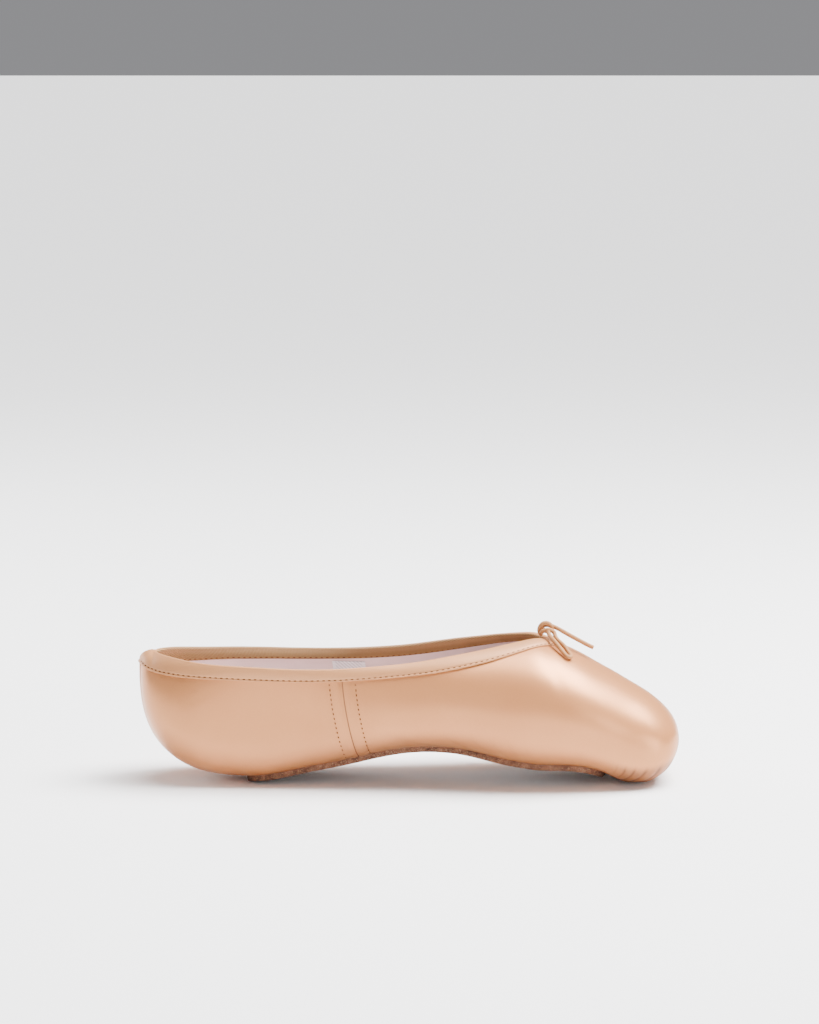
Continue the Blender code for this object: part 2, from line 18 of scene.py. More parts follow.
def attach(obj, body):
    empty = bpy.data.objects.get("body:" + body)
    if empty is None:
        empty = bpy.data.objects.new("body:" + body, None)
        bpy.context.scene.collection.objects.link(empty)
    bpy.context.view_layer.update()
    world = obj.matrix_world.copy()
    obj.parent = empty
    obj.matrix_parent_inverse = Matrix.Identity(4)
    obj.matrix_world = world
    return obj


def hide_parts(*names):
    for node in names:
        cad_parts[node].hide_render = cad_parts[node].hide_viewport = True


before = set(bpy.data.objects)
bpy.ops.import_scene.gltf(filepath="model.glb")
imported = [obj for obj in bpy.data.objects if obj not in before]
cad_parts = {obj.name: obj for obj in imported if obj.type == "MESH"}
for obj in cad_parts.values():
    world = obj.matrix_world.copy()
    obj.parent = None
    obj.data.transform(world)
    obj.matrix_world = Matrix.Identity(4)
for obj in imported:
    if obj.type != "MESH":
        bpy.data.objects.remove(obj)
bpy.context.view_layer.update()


def put_object(name, data):
    """Put an object with its data into the scene."""
    item = bpy.data.objects.new(name, data)
    bpy.context.scene.collection.objects.link(item)
    return item


print("solids:", sorted(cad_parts))

# %% [markdown]
# ## Camera
#
# The photograph was taken from the shoe's side, a little above it, with a long
# lens. A long lens keeps the far side nearly as large as the near side. The
# other way, a short lens close by, would swell the ball of the foot.

# %% Camera
CAMERA_PLACE = (0.0009, -1.470, 0.3258)
CAMERA_TILT = 82.0
FOCAL_LENGTH = 118.0
SENSOR_WIDTH = 36.0

lens = bpy.data.cameras.new("camera")
lens.lens = FOCAL_LENGTH
lens.sensor_width = SENSOR_WIDTH
camera = put_object("camera", lens)
camera.location = CAMERA_PLACE
camera.rotation_euler = (math.radians(CAMERA_TILT), 0.0, 0.0)
bpy.context.scene.camera = camera
print("camera", CAMERA_PLACE, "lens", FOCAL_LENGTH)

# %% [markdown]
# ## Shader maths as plain expressions
#
# A fabric's finish is mostly arithmetic on places: stripes for threads, bands
# for seams. Wiring Math nodes by hand hides that. One small class wraps a
# socket, and its operators add the Math nodes, so a mask reads as a formula.

# %% A socket that takes part in sums
class Value:
    """A number that a shader works out, with the operators that are used here."""

    def __init__(self, tree, socket):
        self.tree = tree
        self.socket = socket

    def math(self, operation, *others, clamp=False):
        node = self.tree.nodes.new("ShaderNodeMath")
        node.operation = operation
        node.use_clamp = clamp
        for place, item in enumerate((self, *others)):
            if isinstance(item, Value):
                self.tree.links.new(item.socket, node.inputs[place])
            else:
                node.inputs[place].default_value = item
        return Value(self.tree, node.outputs[0])

    def __add__(self, other):
        return self.math("ADD", other)

    def __sub__(self, other):
        return self.math("SUBTRACT", other)

    def __rsub__(self, other):
        return (self * -1.0).math("ADD", other)

    def __mul__(self, other):
        return self.math("MULTIPLY", other)

    def __abs__(self):
        return self.math("ABSOLUTE")

    __radd__ = __add__
    __rmul__ = __mul__

    def wave(self, length):
        """From 0 to 1 and back once in each length."""
        return (self * (2.0 * math.pi / length)).math("SINE") * 0.5 + 0.5

    def rise(self, low, high):
        """From 0 at low to 1 at high, and flat beyond both."""
        return ((self - low) * (1.0 / (high - low))).math("MULTIPLY", 1.0, clamp=True)

    def near(self, centre, inner, outer):
        """1 within one distance of a centre, and 0 beyond another."""
        return 1.0 - abs(self - centre).rise(inner, outer)


print("operators:", [name for name in vars(Value) if name.startswith("__")][3:])

# %% A finish, with one method for every other node
class Finish:
    """A material under a maker's plain name."""

    def __init__(self, name, roughness, **constants):
        self.material = bpy.data.materials.new(name)
        self.material.use_nodes = True
        self.tree = self.material.node_tree
        self.shader = self.tree.nodes["Principled BSDF"]
        self.shader.inputs["Roughness"].default_value = roughness
        for socket, number in constants.items():
            self.shader.inputs[socket.replace("_", " ")].default_value = number

    def node(self, kind, settings=None, links=None, output=0):
        """Any node: its settings are set first, then its sockets are filled."""
        node = self.tree.nodes.new(kind)
        for name, setting in (settings or {}).items():
            setattr(node, name, setting)
        for name, item in (links or {}).items():
            socket = node.inputs[name]
            if isinstance(item, Value):
                self.tree.links.new(item.socket, socket)
            else:
                socket.default_value = item
        return Value(self.tree, node.outputs[output])

    def place(self):
        """The object's own coordinates, in metres."""
        return self.node("ShaderNodeTexCoord", output="Object")

    def axes(self, vector):
        """The three numbers of a vector."""
        node = self.tree.nodes.new("ShaderNodeSeparateXYZ")
        self.tree.links.new(vector.socket, node.inputs[0])
        return [Value(self.tree, socket) for socket in node.outputs]

    def cloth(self):
        """The run along and down the cloth, in metres, from the UV map."""
        return self.axes(self.node("ShaderNodeUVMap", {"uv_map": "cloth"}))[:2]

    def attribute(self, name):
        """A number kept at each corner or vertex of the mesh."""
        return self.node("ShaderNodeAttribute", {"attribute_name": name}, output="Fac")

    def noise(self, vector, scale, detail=3.0):
        """Soft cloudy values from 0 to 1."""
        links = {"Vector": vector, "Scale": scale, "Detail": detail}
        return self.node("ShaderNodeTexNoise", links=links)

    def blend(self, amount, low, high):
        """From one colour to another."""
        node = self.tree.nodes.new("ShaderNodeMix")
        node.data_type = "RGBA"
        for place, item in ((0, amount), (6, low), (7, high)):
            if isinstance(item, Value):
                self.tree.links.new(item.socket, node.inputs[place])
            else:
                node.inputs[place].default_value = item if place == 0 else (*item, 1.0)
        return Value(self.tree, node.outputs[2])

    def feed(self, socket, value):
        self.tree.links.new(value.socket, self.shader.inputs[socket])

    def bump(self, height, distance, strength=1.0, under=None):
        """Turn heights into a tilt of the surface, over an earlier bump if there is one."""
        links = {"Height": height, "Distance": distance, "Strength": strength}
        if under is not None:
            links["Normal"] = under
        return self.node("ShaderNodeBump", links=links)


print("finish methods ready")

# %% [markdown]
# ## The last
#
# A shoe is made on a last, a solid form of the foot. Its sections change from a
# narrow upright heel to a wide low ball and a blunt box. A short table gives
# each section as shares of a few driving sizes, and a smooth curve runs through
# the rows. Sculpting the form by hand would look as good from one side only.

# %% Sizes of the last
LENGTH = 0.2392
BALL_WIDTH = 0.076
HEEL_WIDTH = 0.053
COLLAR_WIDTH = 0.054
HEEL_HEIGHT = 0.054
THROAT_HEIGHT = 0.0632
ARCH_HEIGHT = 0.014
NOSE_HEIGHT = 0.0185
BACK_HEIGHT = 0.050
COLLAR_BACK = 0.006
THROAT_SETBACK = 0.059
COLLAR_LIMIT = 0.97

HEEL_PLAN = (0.036, 2.0)
HEEL_UNDER = (0.047, 2.65)
HEEL_TOP = (0.009, 2.65)
TOE_PLAN = (0.027, 3.6)
TOE_TOP = (0.018, 3.0)
TOE_UNDER = (0.017, 1.8)
COLLAR_HEEL = (0.040, 2.0)
COLLAR_THROAT = (0.061, 1.6)
CROWN_FULLNESS = 2.2

QUARTER_WALL = 0.0013
BOX_WALL = 0.0030
BOX_WALL_START = 0.62
BOX_WALL_FULL = 0.82
SOLE_LENGTH = 0.1605
SOLE_SETBACK = 0.047
SOLE_WIDTH = 0.049
SOLE_THICKNESS = 0.0022
INSOLE_SETBACK = 0.022
INSOLE_LENGTH = 0.183
INSOLE_WIDTH = 0.050
INSOLE_THICKNESS = 0.0025
LASTING_MARGIN = 0.0065
FIT_GAP = 0.0003
INSOLE_GAP = 0.0006
FLAT_DEPTH = 0.0004
SEAT = SOLE_THICKNESS + FIT_GAP
BINDING_HEIGHT = 0.0078
BINDING_TURN_IN = 0.0066
BINDING_THICKNESS = 0.0008
BINDING_GAP = 0.0004
SEAM_RISE = 0.0008
SEAM_WIDTH = 0.0030
SEAM_RUN_OUT = 0.006
CORD_DIAMETER = 0.0019
CLOSED = 1e-6
print("last", LENGTH, "long,", BALL_WIDTH, "wide at the ball")

# %% Sections of the last
Section = namedtuple(
    "Section",
    "along heel_width ball_width seat arch heel_height throat_height collar belly base",
)
SECTIONS = [Section(*row) for row in [
    (0.000, 1.00, 0.000, 1.00, 0.000, 1.045, 0.000, 0.78, 0.44, 2.2),
    (0.042, 1.00, 0.000, 1.00, 0.000, 1.036, 0.000, 0.80, 0.44, 2.2),
    (0.083, 1.00, 0.000, 1.00, 0.000, 1.017, 0.000, 0.83, 0.44, 2.3),
    (0.125, 1.00, 0.000, 1.00, 0.000, 1.003, 0.000, 0.87, 0.43, 2.5),
    (0.188, 1.00, 0.000, 1.00, 0.000, 0.993, 0.000, 0.92, 0.42, 2.8),
    (0.225, 0.94, 0.055, 1.00, 0.010, 0.988, 0.000, 0.96, 0.42, 3.0),
    (0.250, 0.85, 0.130, 1.00, 0.070, 0.960, 0.020, 0.98, 0.42, 3.0),
    (0.308, 0.70, 0.252, 1.00, 0.300, 0.830, 0.126, 1.00, 0.43, 3.0),
    (0.358, 0.55, 0.377, 1.00, 0.470, 0.700, 0.238, 0.99, 0.44, 3.0),
    (0.408, 0.42, 0.492, 1.00, 0.670, 0.550, 0.374, 0.95, 0.45, 3.0),
    (0.463, 0.28, 0.615, 1.00, 0.880, 0.400, 0.516, 0.91, 0.46, 3.0),
    (0.500, 0.19, 0.697, 1.00, 0.970, 0.300, 0.615, 0.89, 0.46, 3.0),
    (0.546, 0.10, 0.796, 1.00, 1.000, 0.180, 0.742, 0.90, 0.46, 3.0),
    (0.592, 0.03, 0.879, 1.00, 0.940, 0.080, 0.856, 0.91, 0.45, 3.0),
    (0.625, 0.00, 0.932, 1.00, 0.830, 0.000, 0.943, 0.92, 0.44, 3.0),
    (0.675, 0.00, 0.974, 1.00, 0.610, 0.000, 0.975, 0.92, 0.43, 3.0),
    (0.708, 0.00, 0.995, 1.00, 0.510, 0.000, 0.992, 0.92, 0.42, 3.0),
    (0.733, 0.00, 1.000, 1.00, 0.445, 0.000, 1.000, 0.92, 0.42, 3.0),
    (0.754, 0.00, 1.000, 1.00, 0.430, 0.000, 0.985, 0.92, 0.42, 3.0),
    (0.779, 0.00, 0.996, 1.00, 0.430, 0.000, 0.944, 0.92, 0.42, 3.0),
    (0.808, 0.00, 0.977, 1.00, 0.400, 0.000, 0.898, 0.92, 0.42, 3.0),
    (0.833, 0.00, 0.950, 1.00, 0.330, 0.000, 0.846, 0.92, 0.42, 3.0),
    (0.863, 0.00, 0.913, 1.00, 0.150, 0.000, 0.781, 0.92, 0.42, 2.9),
    (0.885, 0.00, 0.884, 0.58, 0.000, 0.000, 0.736, 0.92, 0.42, 2.8),
    (0.906, 0.00, 0.858, 0.08, 0.000, 0.000, 0.687, 0.92, 0.42, 2.7),
    (0.929, 0.00, 0.829, 0.00, 0.000, 0.000, 0.636, 0.92, 0.43, 2.6),
    (0.965, 0.00, 0.786, 0.00, 0.000, 0.000, 0.552, 0.92, 0.45, 2.5),
    (1.000, 0.00, 0.737, 0.00, 0.000, 0.000, 0.472, 0.92, 0.47, 2.4),
]]
print(len(SECTIONS), "sections of the last")

# %% Smooth curves through short tables
TABLE_STEPS = 960
TABLE_SOFTNESS = 0.0025


def rounded(distance, corner):
    """Rise from 0 at an end to 1 one reach away, along a rounded corner."""
    reach, fullness = corner
    left = np.clip(1.0 - distance / reach, 0.0, 1.0)
    return (1.0 - left**fullness) ** (1.0 / fullness)


def curve_through(places, values, wanted):
    """Natural cubic curve through a few points."""
    places = np.asarray(places, float)
    values = np.asarray(values, float)
    steps = np.diff(places)
    slopes = np.diff(values) / steps
    count = len(places)
    matrix = np.eye(count)
    right = np.zeros(count)
    for i in range(1, count - 1):
        matrix[i, i - 1 : i + 2] = steps[i - 1], 2 * (steps[i - 1] + steps[i]), steps[i]
        right[i] = 6 * (slopes[i] - slopes[i - 1])
    bends = np.linalg.solve(matrix, right)
    i = np.clip(np.searchsorted(places, wanted) - 1, 0, count - 2)
    before = wanted - places[i]
    after = places[i + 1] - wanted
    step = steps[i]
    return (
        (bends[i] * after**3 + bends[i + 1] * before**3) / (6 * step)
        + (values[i] / step - bends[i] * step / 6) * after
        + (values[i + 1] / step - bends[i + 1] * step / 6) * before
    )


def soft_table(places, values, length):
    """The curve through a table's values, read finely and softened a little."""
    fine = curve_through(places, values, np.linspace(0.0, 1.0, TABLE_STEPS + 1))
    spread = TABLE_SOFTNESS / length * TABLE_STEPS
    reach = int(3 * spread)
    weights = np.exp(-0.5 * (np.arange(-reach, reach + 1) / spread) ** 2)
    padded = np.pad(fine, reach, mode="reflect", reflect_type="odd")
    return np.convolve(padded, weights / weights.sum(), mode="valid")


def read_table(table, along):
    """Read a soft table at shares of its length."""
    return np.interp(along, np.linspace(0.0, 1.0, len(table)), table)


ALONG = [row.along for row in SECTIONS]
COLUMN = {
    name: soft_table(ALONG, [getattr(row, name) for row in SECTIONS], LENGTH)
    for name in Section._fields[1:]
}
print(len(COLUMN), "soft columns")

# %% One section of the last
def section(x):
    """Sizes of the last's section at a distance from the back of the heel."""
    along = np.clip(x / LENGTH, 0.0, 1.0)
    share = {name: read_table(table, along) for name, table in COLUMN.items()}
    toe = LENGTH - x
    half = 0.5 * (HEEL_WIDTH * share["heel_width"] + BALL_WIDTH * share["ball_width"])
    half = np.maximum(half * rounded(x, HEEL_PLAN) * rounded(toe, TOE_PLAN), CLOSED)
    floor = SEAT * share["seat"] + ARCH_HEIGHT * share["arch"] - FLAT_DEPTH
    floor = BACK_HEIGHT + (floor - BACK_HEIGHT) * rounded(x, HEEL_UNDER)
    floor = NOSE_HEIGHT + (floor - NOSE_HEIGHT) * rounded(toe, TOE_UNDER)
    edge = HEEL_HEIGHT * share["heel_height"] + THROAT_HEIGHT * share["throat_height"]
    edge = BACK_HEIGHT + (edge - BACK_HEIGHT) * rounded(x, HEEL_TOP)
    edge = NOSE_HEIGHT + (edge - NOSE_HEIGHT) * rounded(toe, TOE_TOP)
    collar = 0.5 * COLLAR_WIDTH * share["collar"]
    collar = collar * rounded(x - COLLAR_BACK, COLLAR_HEEL)
    collar = collar * rounded(LENGTH - THROAT_SETBACK - x, COLLAR_THROAT)
    collar = np.minimum(collar, COLLAR_LIMIT * half)
    belly = floor + share["belly"] * (edge - floor)
    lean = (1.0 - (collar / half) ** CROWN_FULLNESS) ** (1.0 / CROWN_FULLNESS)
    crown = belly + (edge - belly) / lean
    return half, floor, edge, collar, belly, crown, share["base"]


FARTHEST_SHARE = 40.0


def outside(points):
    """Below zero inside the last, zero on it and above zero outside."""
    x, y, z = points[..., 0], points[..., 1], points[..., 2]
    half, floor, edge, collar, belly, crown, base = section(x)
    across = np.minimum(np.abs(y) / half, FARTHEST_SHARE)
    up = np.clip((z - belly) / np.maximum(crown - belly, CLOSED), 0.0, FARTHEST_SHARE)
    down = np.clip((belly - z) / np.maximum(belly - floor, CLOSED), 0.0, FARTHEST_SHARE)
    above = across**CROWN_FULLNESS + up**CROWN_FULLNESS - 1.0
    below = across**base + down**base - 1.0
    value = np.where(z > belly, above, below)
    return np.where((x <= 0.0) | (x >= LENGTH), 1.0, value)


def underside(x, y):
    """Height of the last's underside."""
    half, floor, edge, collar, belly, crown, base = section(x)
    across = np.clip(np.abs(y) / half, 0.0, 0.999)
    return belly - (belly - floor) * (1.0 - across**base) ** (1.0 / base)


def wall_at(x):
    """Thickness of the upper, which grows from the quarters to the stiffened box."""
    grown = (x / LENGTH - BOX_WALL_START) / (BOX_WALL_FULL - BOX_WALL_START)
    t = np.clip(grown, 0.0, 1.0)
    return QUARTER_WALL + (BOX_WALL - QUARTER_WALL) * t * t * (3.0 - 2.0 * t)


print("ball half width", round(float(section(np.array(0.73 * LENGTH))[0]), 4))

# %% Outlines of the soles
SoleStation = namedtuple("SoleStation", "along half")
SOLE_OUTLINE = [SoleStation(*row) for row in [
    (0.00, 0.66), (0.10, 0.69), (0.22, 0.68), (0.36, 0.62), (0.48, 0.61),
    (0.58, 0.70), (0.70, 0.90), (0.80, 1.00), (0.90, 1.00), (1.00, 0.94),
]]
INSOLE_OUTLINE = [SoleStation(*row) for row in [
    (0.00, 0.66), (0.15, 0.68), (0.40, 0.70), (0.60, 0.82), (0.78, 1.00), (1.00, 0.92),
]]
SOLE_HEEL = (0.007, 2.3)
SOLE_TIP = (0.013, 2.3)
INSOLE_HEEL = (0.020, 2.3)
INSOLE_TIP = (0.024, 2.3)


def outline_table(stations, length):
    """Soft table of a sole's half widths."""
    return soft_table([s.along for s in stations], [s.half for s in stations], length)


SOLE_TABLE = outline_table(SOLE_OUTLINE, SOLE_LENGTH)
INSOLE_TABLE = outline_table(INSOLE_OUTLINE, INSOLE_LENGTH)


def sole_half(x, inset=0.0):
    """Half width of the outsole's outline, or of one drawn inside it."""
    half = 0.5 * SOLE_WIDTH * read_table(SOLE_TABLE, (x - SOLE_SETBACK) / SOLE_LENGTH)
    ends = rounded(x - SOLE_SETBACK - inset, SOLE_HEEL)
    ends = ends * rounded(SOLE_SETBACK + SOLE_LENGTH - inset - x, SOLE_TIP)
    return np.maximum(half - inset, 0.0) * ends


def insole_half(x):
    """Half width of the insole's outline."""
    half = 0.5 * INSOLE_WIDTH * read_table(INSOLE_TABLE, (x - INSOLE_SETBACK) / INSOLE_LENGTH)
    ends = rounded(x - INSOLE_SETBACK, INSOLE_HEEL)
    return half * ends * rounded(INSOLE_SETBACK + INSOLE_LENGTH - x, INSOLE_TIP)


print("outsole", SOLE_LENGTH, "long, insole", INSOLE_LENGTH, "long")

# %% [markdown]
# ## Columns over the last
#
# Cloth is pulled over the last from the collar down to the sole, where it is
# pleated and glued. The mesh follows the same way: each column of points starts
# at the collar's edge and runs down to the sole's opening, so that distances
# along a column are distances along the cloth. Seams and stitches need those.

# %% Columns from the collar to the sole
ARC_SAMPLES = 161
ARC_BULGE = 1.5
HALVINGS = 34
OPENING_SPAN = (0.15, 0.67)
SPINE_SPAN = (0.25, 0.79)
SOLE_SPAN = (0.27, 0.79)
COLUMNS_HEEL = 48
COLUMNS_SIDE = 130
COLUMNS_TOE = 62


def unit(vectors):
    """Vectors of length 1."""
    return vectors / np.linalg.norm(vectors, axis=-1, keepdims=True)


def run_along(points):
    """Distance of each point from the first, along one or more lines of points."""
    steps = np.linalg.norm(np.diff(points, axis=-2), axis=-1)
    return np.concatenate([np.zeros_like(steps[..., :1]), np.cumsum(steps, axis=-1)], axis=-1)


def reach_out(start, direction, test):
    """Distance along each direction at which a test turns from below to above zero."""
    near = np.zeros(direction.shape[:-1])
    far = np.full(direction.shape[:-1], LENGTH)
    for _ in range(HALVINGS):
        middle = 0.5 * (near + far)
        beyond = test(start + direction * middle[..., None]) > 0.0
        far = np.where(beyond, middle, far)
        near = np.where(beyond, near, middle)
    return 0.5 * (near + far)


def open_collar(points):
    return np.abs(points[..., 1]) - section(points[..., 0])[3] + CLOSED


def open_sole(points):
    return np.abs(points[..., 1]) - sole_half(points[..., 0], LASTING_MARGIN) + CLOSED


def loop_stations():
    """Places round the shoe: from the heel seam, along the near side, to the toe and back."""
    heel = np.radians(np.linspace(0.0, 90.0, COLUMNS_HEEL + 1))
    toe = np.radians(np.linspace(90.0, 0.0, COLUMNS_TOE + 1)[1:])
    places = [(0.0, -math.cos(turn), -math.sin(turn)) for turn in heel]
    places += [(share, 0.0, -1.0) for share in np.linspace(0.0, 1.0, COLUMNS_SIDE + 1)[1:]]
    places += [(1.0, math.cos(turn), -math.sin(turn)) for turn in toe]
    return places + [(share, dx, -dy) for share, dx, dy in places[-2:0:-1]]


def last_arcs():
    """Arcs over the last, each from the collar's edge to the sole opening's edge."""
    places = np.array(loop_stations())
    share = places[:, 0]
    plan = np.concatenate([places[:, 1:], np.zeros((len(places), 1))], axis=1)

    def on_axis(span):
        axis = np.zeros((len(places), 3))
        axis[:, 0] = LENGTH * (span[0] + (span[1] - span[0]) * share)
        return axis

    top = on_axis(OPENING_SPAN)
    edge = top + plan * reach_out(top, plan, open_collar)[:, None]
    edge[:, 2] = section(edge[:, 0])[2]
    under = on_axis(SOLE_SPAN)
    lip = under + plan * reach_out(under, plan, open_sole)[:, None]
    lip[:, 2] = underside(lip[:, 0], lip[:, 1])
    middle = on_axis(SPINE_SPAN)
    _, floor, height, *_ = section(middle[:, 0])
    middle[:, 2] = 0.5 * (floor + height)
    first = unit(edge - middle)[:, None, :]
    last = unit(lip - middle)[:, None, :]
    way = np.linspace(0.0, 1.0, ARC_SAMPLES)[None, :, None]
    bulge = 2.0 * ARC_BULGE * way * (1.0 - way) * plan[:, None, :]
    rays = unit((1.0 - way) ** 2 * first + bulge + way**2 * last)
    start = middle[:, None, :]
    arcs = start + rays * reach_out(start, rays, outside)[..., None]
    along = np.gradient(arcs, axis=1)
    across = np.roll(arcs, -1, axis=0) - np.roll(arcs, 1, axis=0)
    normals = unit(np.cross(along, across))
    outward = np.sum(normals * (arcs - start), axis=2, keepdims=True)
    return arcs, normals * np.where(outward < 0.0, -1.0, 1.0)


ARCS, NORMALS = last_arcs()
RUNS = run_along(ARCS)
ARC_LENGTHS = RUNS[:, -1]
print(len(ARCS), "columns up to", round(float(ARC_LENGTHS.max()), 3), "long")

# %% Places on the last by column and distance from the collar
FRAME_SHIFT = 0.5 * (LENGTH - SEAM_RISE - BINDING_GAP - BINDING_THICKNESS)


def to_frame(points):
    """Carry points from the back of the heel to the shoe's own frame."""
    moved = np.array(points, float)
    moved[..., 0] -= FRAME_SHIFT
    return moved


def on_last(distances):
    """Points and normals at one or more distances down every column."""
    distances = np.broadcast_to(distances, (len(ARCS), np.shape(distances)[-1]))
    points = np.empty((*distances.shape, 3))
    facing = np.empty_like(points)
    for k in range(len(ARCS)):
        for axis in range(3):
            points[k, :, axis] = np.interp(distances[k], RUNS[k], ARCS[k, :, axis])
            facing[k, :, axis] = np.interp(distances[k], RUNS[k], NORMALS[k, :, axis])
    return points, unit(facing)


def smooth_step(value, low, high):
    """From 0 at low to 1 at high, with soft ends."""
    t = np.clip((value - low) / (high - low), 0.0, 1.0)
    return t * t * (3.0 - 2.0 * t)


def hump(value, width):
    """A soft hump of height 1 at zero."""
    return np.exp(-0.5 * (value / width) ** 2)


# Length of the collar's edge up to each column, from the back seam round the near side
EDGE_STEPS = np.linalg.norm(np.roll(ARCS[:, 0], -1, axis=0) - ARCS[:, 0], axis=1)
EDGE_RUN = np.concatenate([[0.0], np.cumsum(EDGE_STEPS)])[:-1]
EDGE_LENGTH = float(EDGE_STEPS.sum())
print("collar's edge", round(EDGE_LENGTH, 3))

# %% [markdown]
# ## Relief of the satin
#
# Satin tells its story by how it bends light, so its small relief is modelled
# in the mesh: the ridge of the back seam, the folded edges beside each side
# seam, the pull of the cloth over the wings and the gathered pleats under the
# toe. Each is a trough or ridge placed in the shoe's own sizes.

# %% Seams and creases as heights
SIDE_SEAM_TOP = 0.0897
SIDE_SEAM_FOOT = 0.0965
SIDE_SEAM_BOW = 0.0012
SEAM_FOOT_HEIGHT = 0.0150
SEAM_ROW_OFFSET = 0.0057
SEAM_DEPTH = 0.00022
SEAM_FOLD = 0.00020
PLEAT_COUNT = 46
PLEAT_DEPTH = 0.00045
PLEAT_RISE = 0.0062
PLEAT_CENTRE = LENGTH - 0.040
PLEAT_FRONT = (LENGTH - 0.036, LENGTH - 0.022)
PLEAT_LOW = 0.0005
PLEAT_CLIMB = 0.19
PLEAT_TROUGH = 0.6
PLEAT_WANDER = 1.5
PLEAT_WANDERS = 5.0
SIDE_FADE = (0.006, 0.014)
LINE_WIDTH = 0.0009
FOLD_OFFSET = 0.0022
FOLD_WIDTH = 0.0012
ROW_PINCH = 0.00012
ROW_WIDTH = 0.0010

Crease = namedtuple("Crease", "x z length width turn depth")

# Soft troughs and ridges on each side, by place, size, turn in degrees and depth
CREASES = [Crease(*row) for row in [
    (0.166, 0.0400, 0.0300, 0.0075, -30.0, 0.00045),
    (0.186, 0.0290, 0.0330, 0.0060, -24.0, -0.00035),
    (0.150, 0.0270, 0.0260, 0.0065, -16.0, 0.00030),
    (0.128, 0.0360, 0.0240, 0.0070, -8.0, -0.00022),
    (0.064, 0.0330, 0.0260, 0.0080, 6.0, 0.00024),
    (0.034, 0.0300, 0.0100, 0.0070, 70.0, 0.00030),
    (0.205, 0.0210, 0.0220, 0.0050, -14.0, 0.00028),
    (0.183, 0.0530, 0.0060, 0.0018, -70.0, 0.00030),
]]


def seam_x(z):
    """Where the side seam runs at a height: forwards and bowed on its way down."""
    top = section(np.array(SIDE_SEAM_TOP))[2]
    way = np.clip((top - z) / (top - SEAM_FOOT_HEIGHT), 0.0, 1.2)
    bow = SIDE_SEAM_BOW * 4.0 * way * (1.0 - way)
    return SIDE_SEAM_TOP + (SIDE_SEAM_FOOT - SIDE_SEAM_TOP) * way - bow


def satin_relief(points):
    """Height of the satin above the last."""
    x, y, z = points[..., 0], points[..., 1], points[..., 2]
    side = smooth_step(np.abs(y), *SIDE_FADE)
    off = x - seam_x(z)
    height = -SEAM_DEPTH * hump(off, LINE_WIDTH) * side
    height += SEAM_FOLD * hump(np.abs(off) - FOLD_OFFSET, FOLD_WIDTH) * side
    height -= ROW_PINCH * hump(np.abs(off) - SEAM_ROW_OFFSET, ROW_WIDTH) * side
    for crease in CREASES:
        turn = math.radians(crease.turn)
        along = (x - crease.x) * math.cos(turn) + (z - crease.z) * math.sin(turn)
        across = (z - crease.z) * math.cos(turn) - (x - crease.x) * math.sin(turn)
        height -= crease.depth * hump(along, crease.length) * hump(across, crease.width) * side
    return height


def toe_pleats(points):
    """Gathers of the satin where it is lasted under the toe."""
    x, y, z = points[..., 0], points[..., 1], points[..., 2]
    turn = np.arctan2(y, x - PLEAT_CENTRE)
    low = 1.0 - smooth_step(z - PLEAT_CLIMB * (x - PLEAT_CENTRE), PLEAT_LOW, PLEAT_RISE)
    wander = PLEAT_WANDER * np.sin(PLEAT_WANDERS * turn)
    ridge = np.abs(np.sin(0.5 * PLEAT_COUNT * turn + wander)) - PLEAT_TROUGH
    return PLEAT_DEPTH * ridge * low * smooth_step(x, *PLEAT_FRONT)


print(len(CREASES), "creases,", PLEAT_COUNT, "pleats")

# %% [markdown]
# ## Rolled grids
#
# The upper, lining and binding are all bands that close round the shoe. A flat
# grid is made once by the grid operator, and each of its vertices is carried to
# its place on the last. Closing the band merges its first and last rows. A UV
# map in metres goes with it, for threads that follow the cloth.

# %% Carry a grid to its place
MERGE_DISTANCE = 1e-7


def mesh_object(name, mesh, *finishes):
    """Turn a bmesh into an object with its finishes."""
    data = bpy.data.meshes.new(name)
    mesh.to_mesh(data)
    mesh.free()
    for finish in finishes:
        data.materials.append(finish)
    return put_object(name, data)


def add_object(name, mesh, *finishes):
    """A smooth mesh object that rides on the shoe's one body."""
    item = mesh_object(name, mesh, *finishes)
    item.data.shade_smooth()
    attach(item, "root")
    return item


def band(points, facing, row=0, second_from=None, shade=None):
    """A bmesh band that closes round the shoe, from columns of points on the last.

    facing is the way out of each column at one row. The rows from second_from on
    take the second finish, and shade is the painted shade to keep at each point.
    """
    columns, rows = points.shape[:2]
    mesh = bmesh.new()
    uv = mesh.loops.layers.uv.new("cloth")
    dark = mesh.verts.layers.float.new("shade")
    bmesh.ops.create_grid(mesh, x_segments=rows - 1, y_segments=columns, size=0.5)
    place = {}
    for vertex in mesh.verts:
        i = round((vertex.co.x + 0.5) * (rows - 1))
        k = round((vertex.co.y + 0.5) * columns)
        place[vertex] = (i, k)
    down = run_along(points)
    moved = to_frame(points)
    for vertex, (i, k) in place.items():
        vertex.co = moved[k % columns, i]
        vertex[dark] = 0.0 if shade is None else shade[k % columns, i]
    outward = 0.0
    for face in mesh.faces:
        first, k = min(place[v] for v in face.verts)
        for loop in face.loops:
            i, column = place[loop.vert]
            run = EDGE_LENGTH if column == columns else EDGE_RUN[column]
            loop[uv].uv = (run, down[column % columns, i])
        if second_from is not None and first >= second_from:
            face.material_index = 1
        if first == row:
            face.normal_update()
            outward += face.normal.dot(Vector(facing[k]))
    if outward < 0.0:
        bmesh.ops.reverse_faces(mesh, faces=mesh.faces)
    bmesh.ops.remove_doubles(mesh, verts=mesh.verts, dist=MERGE_DISTANCE)
    return mesh


print("grids ready")
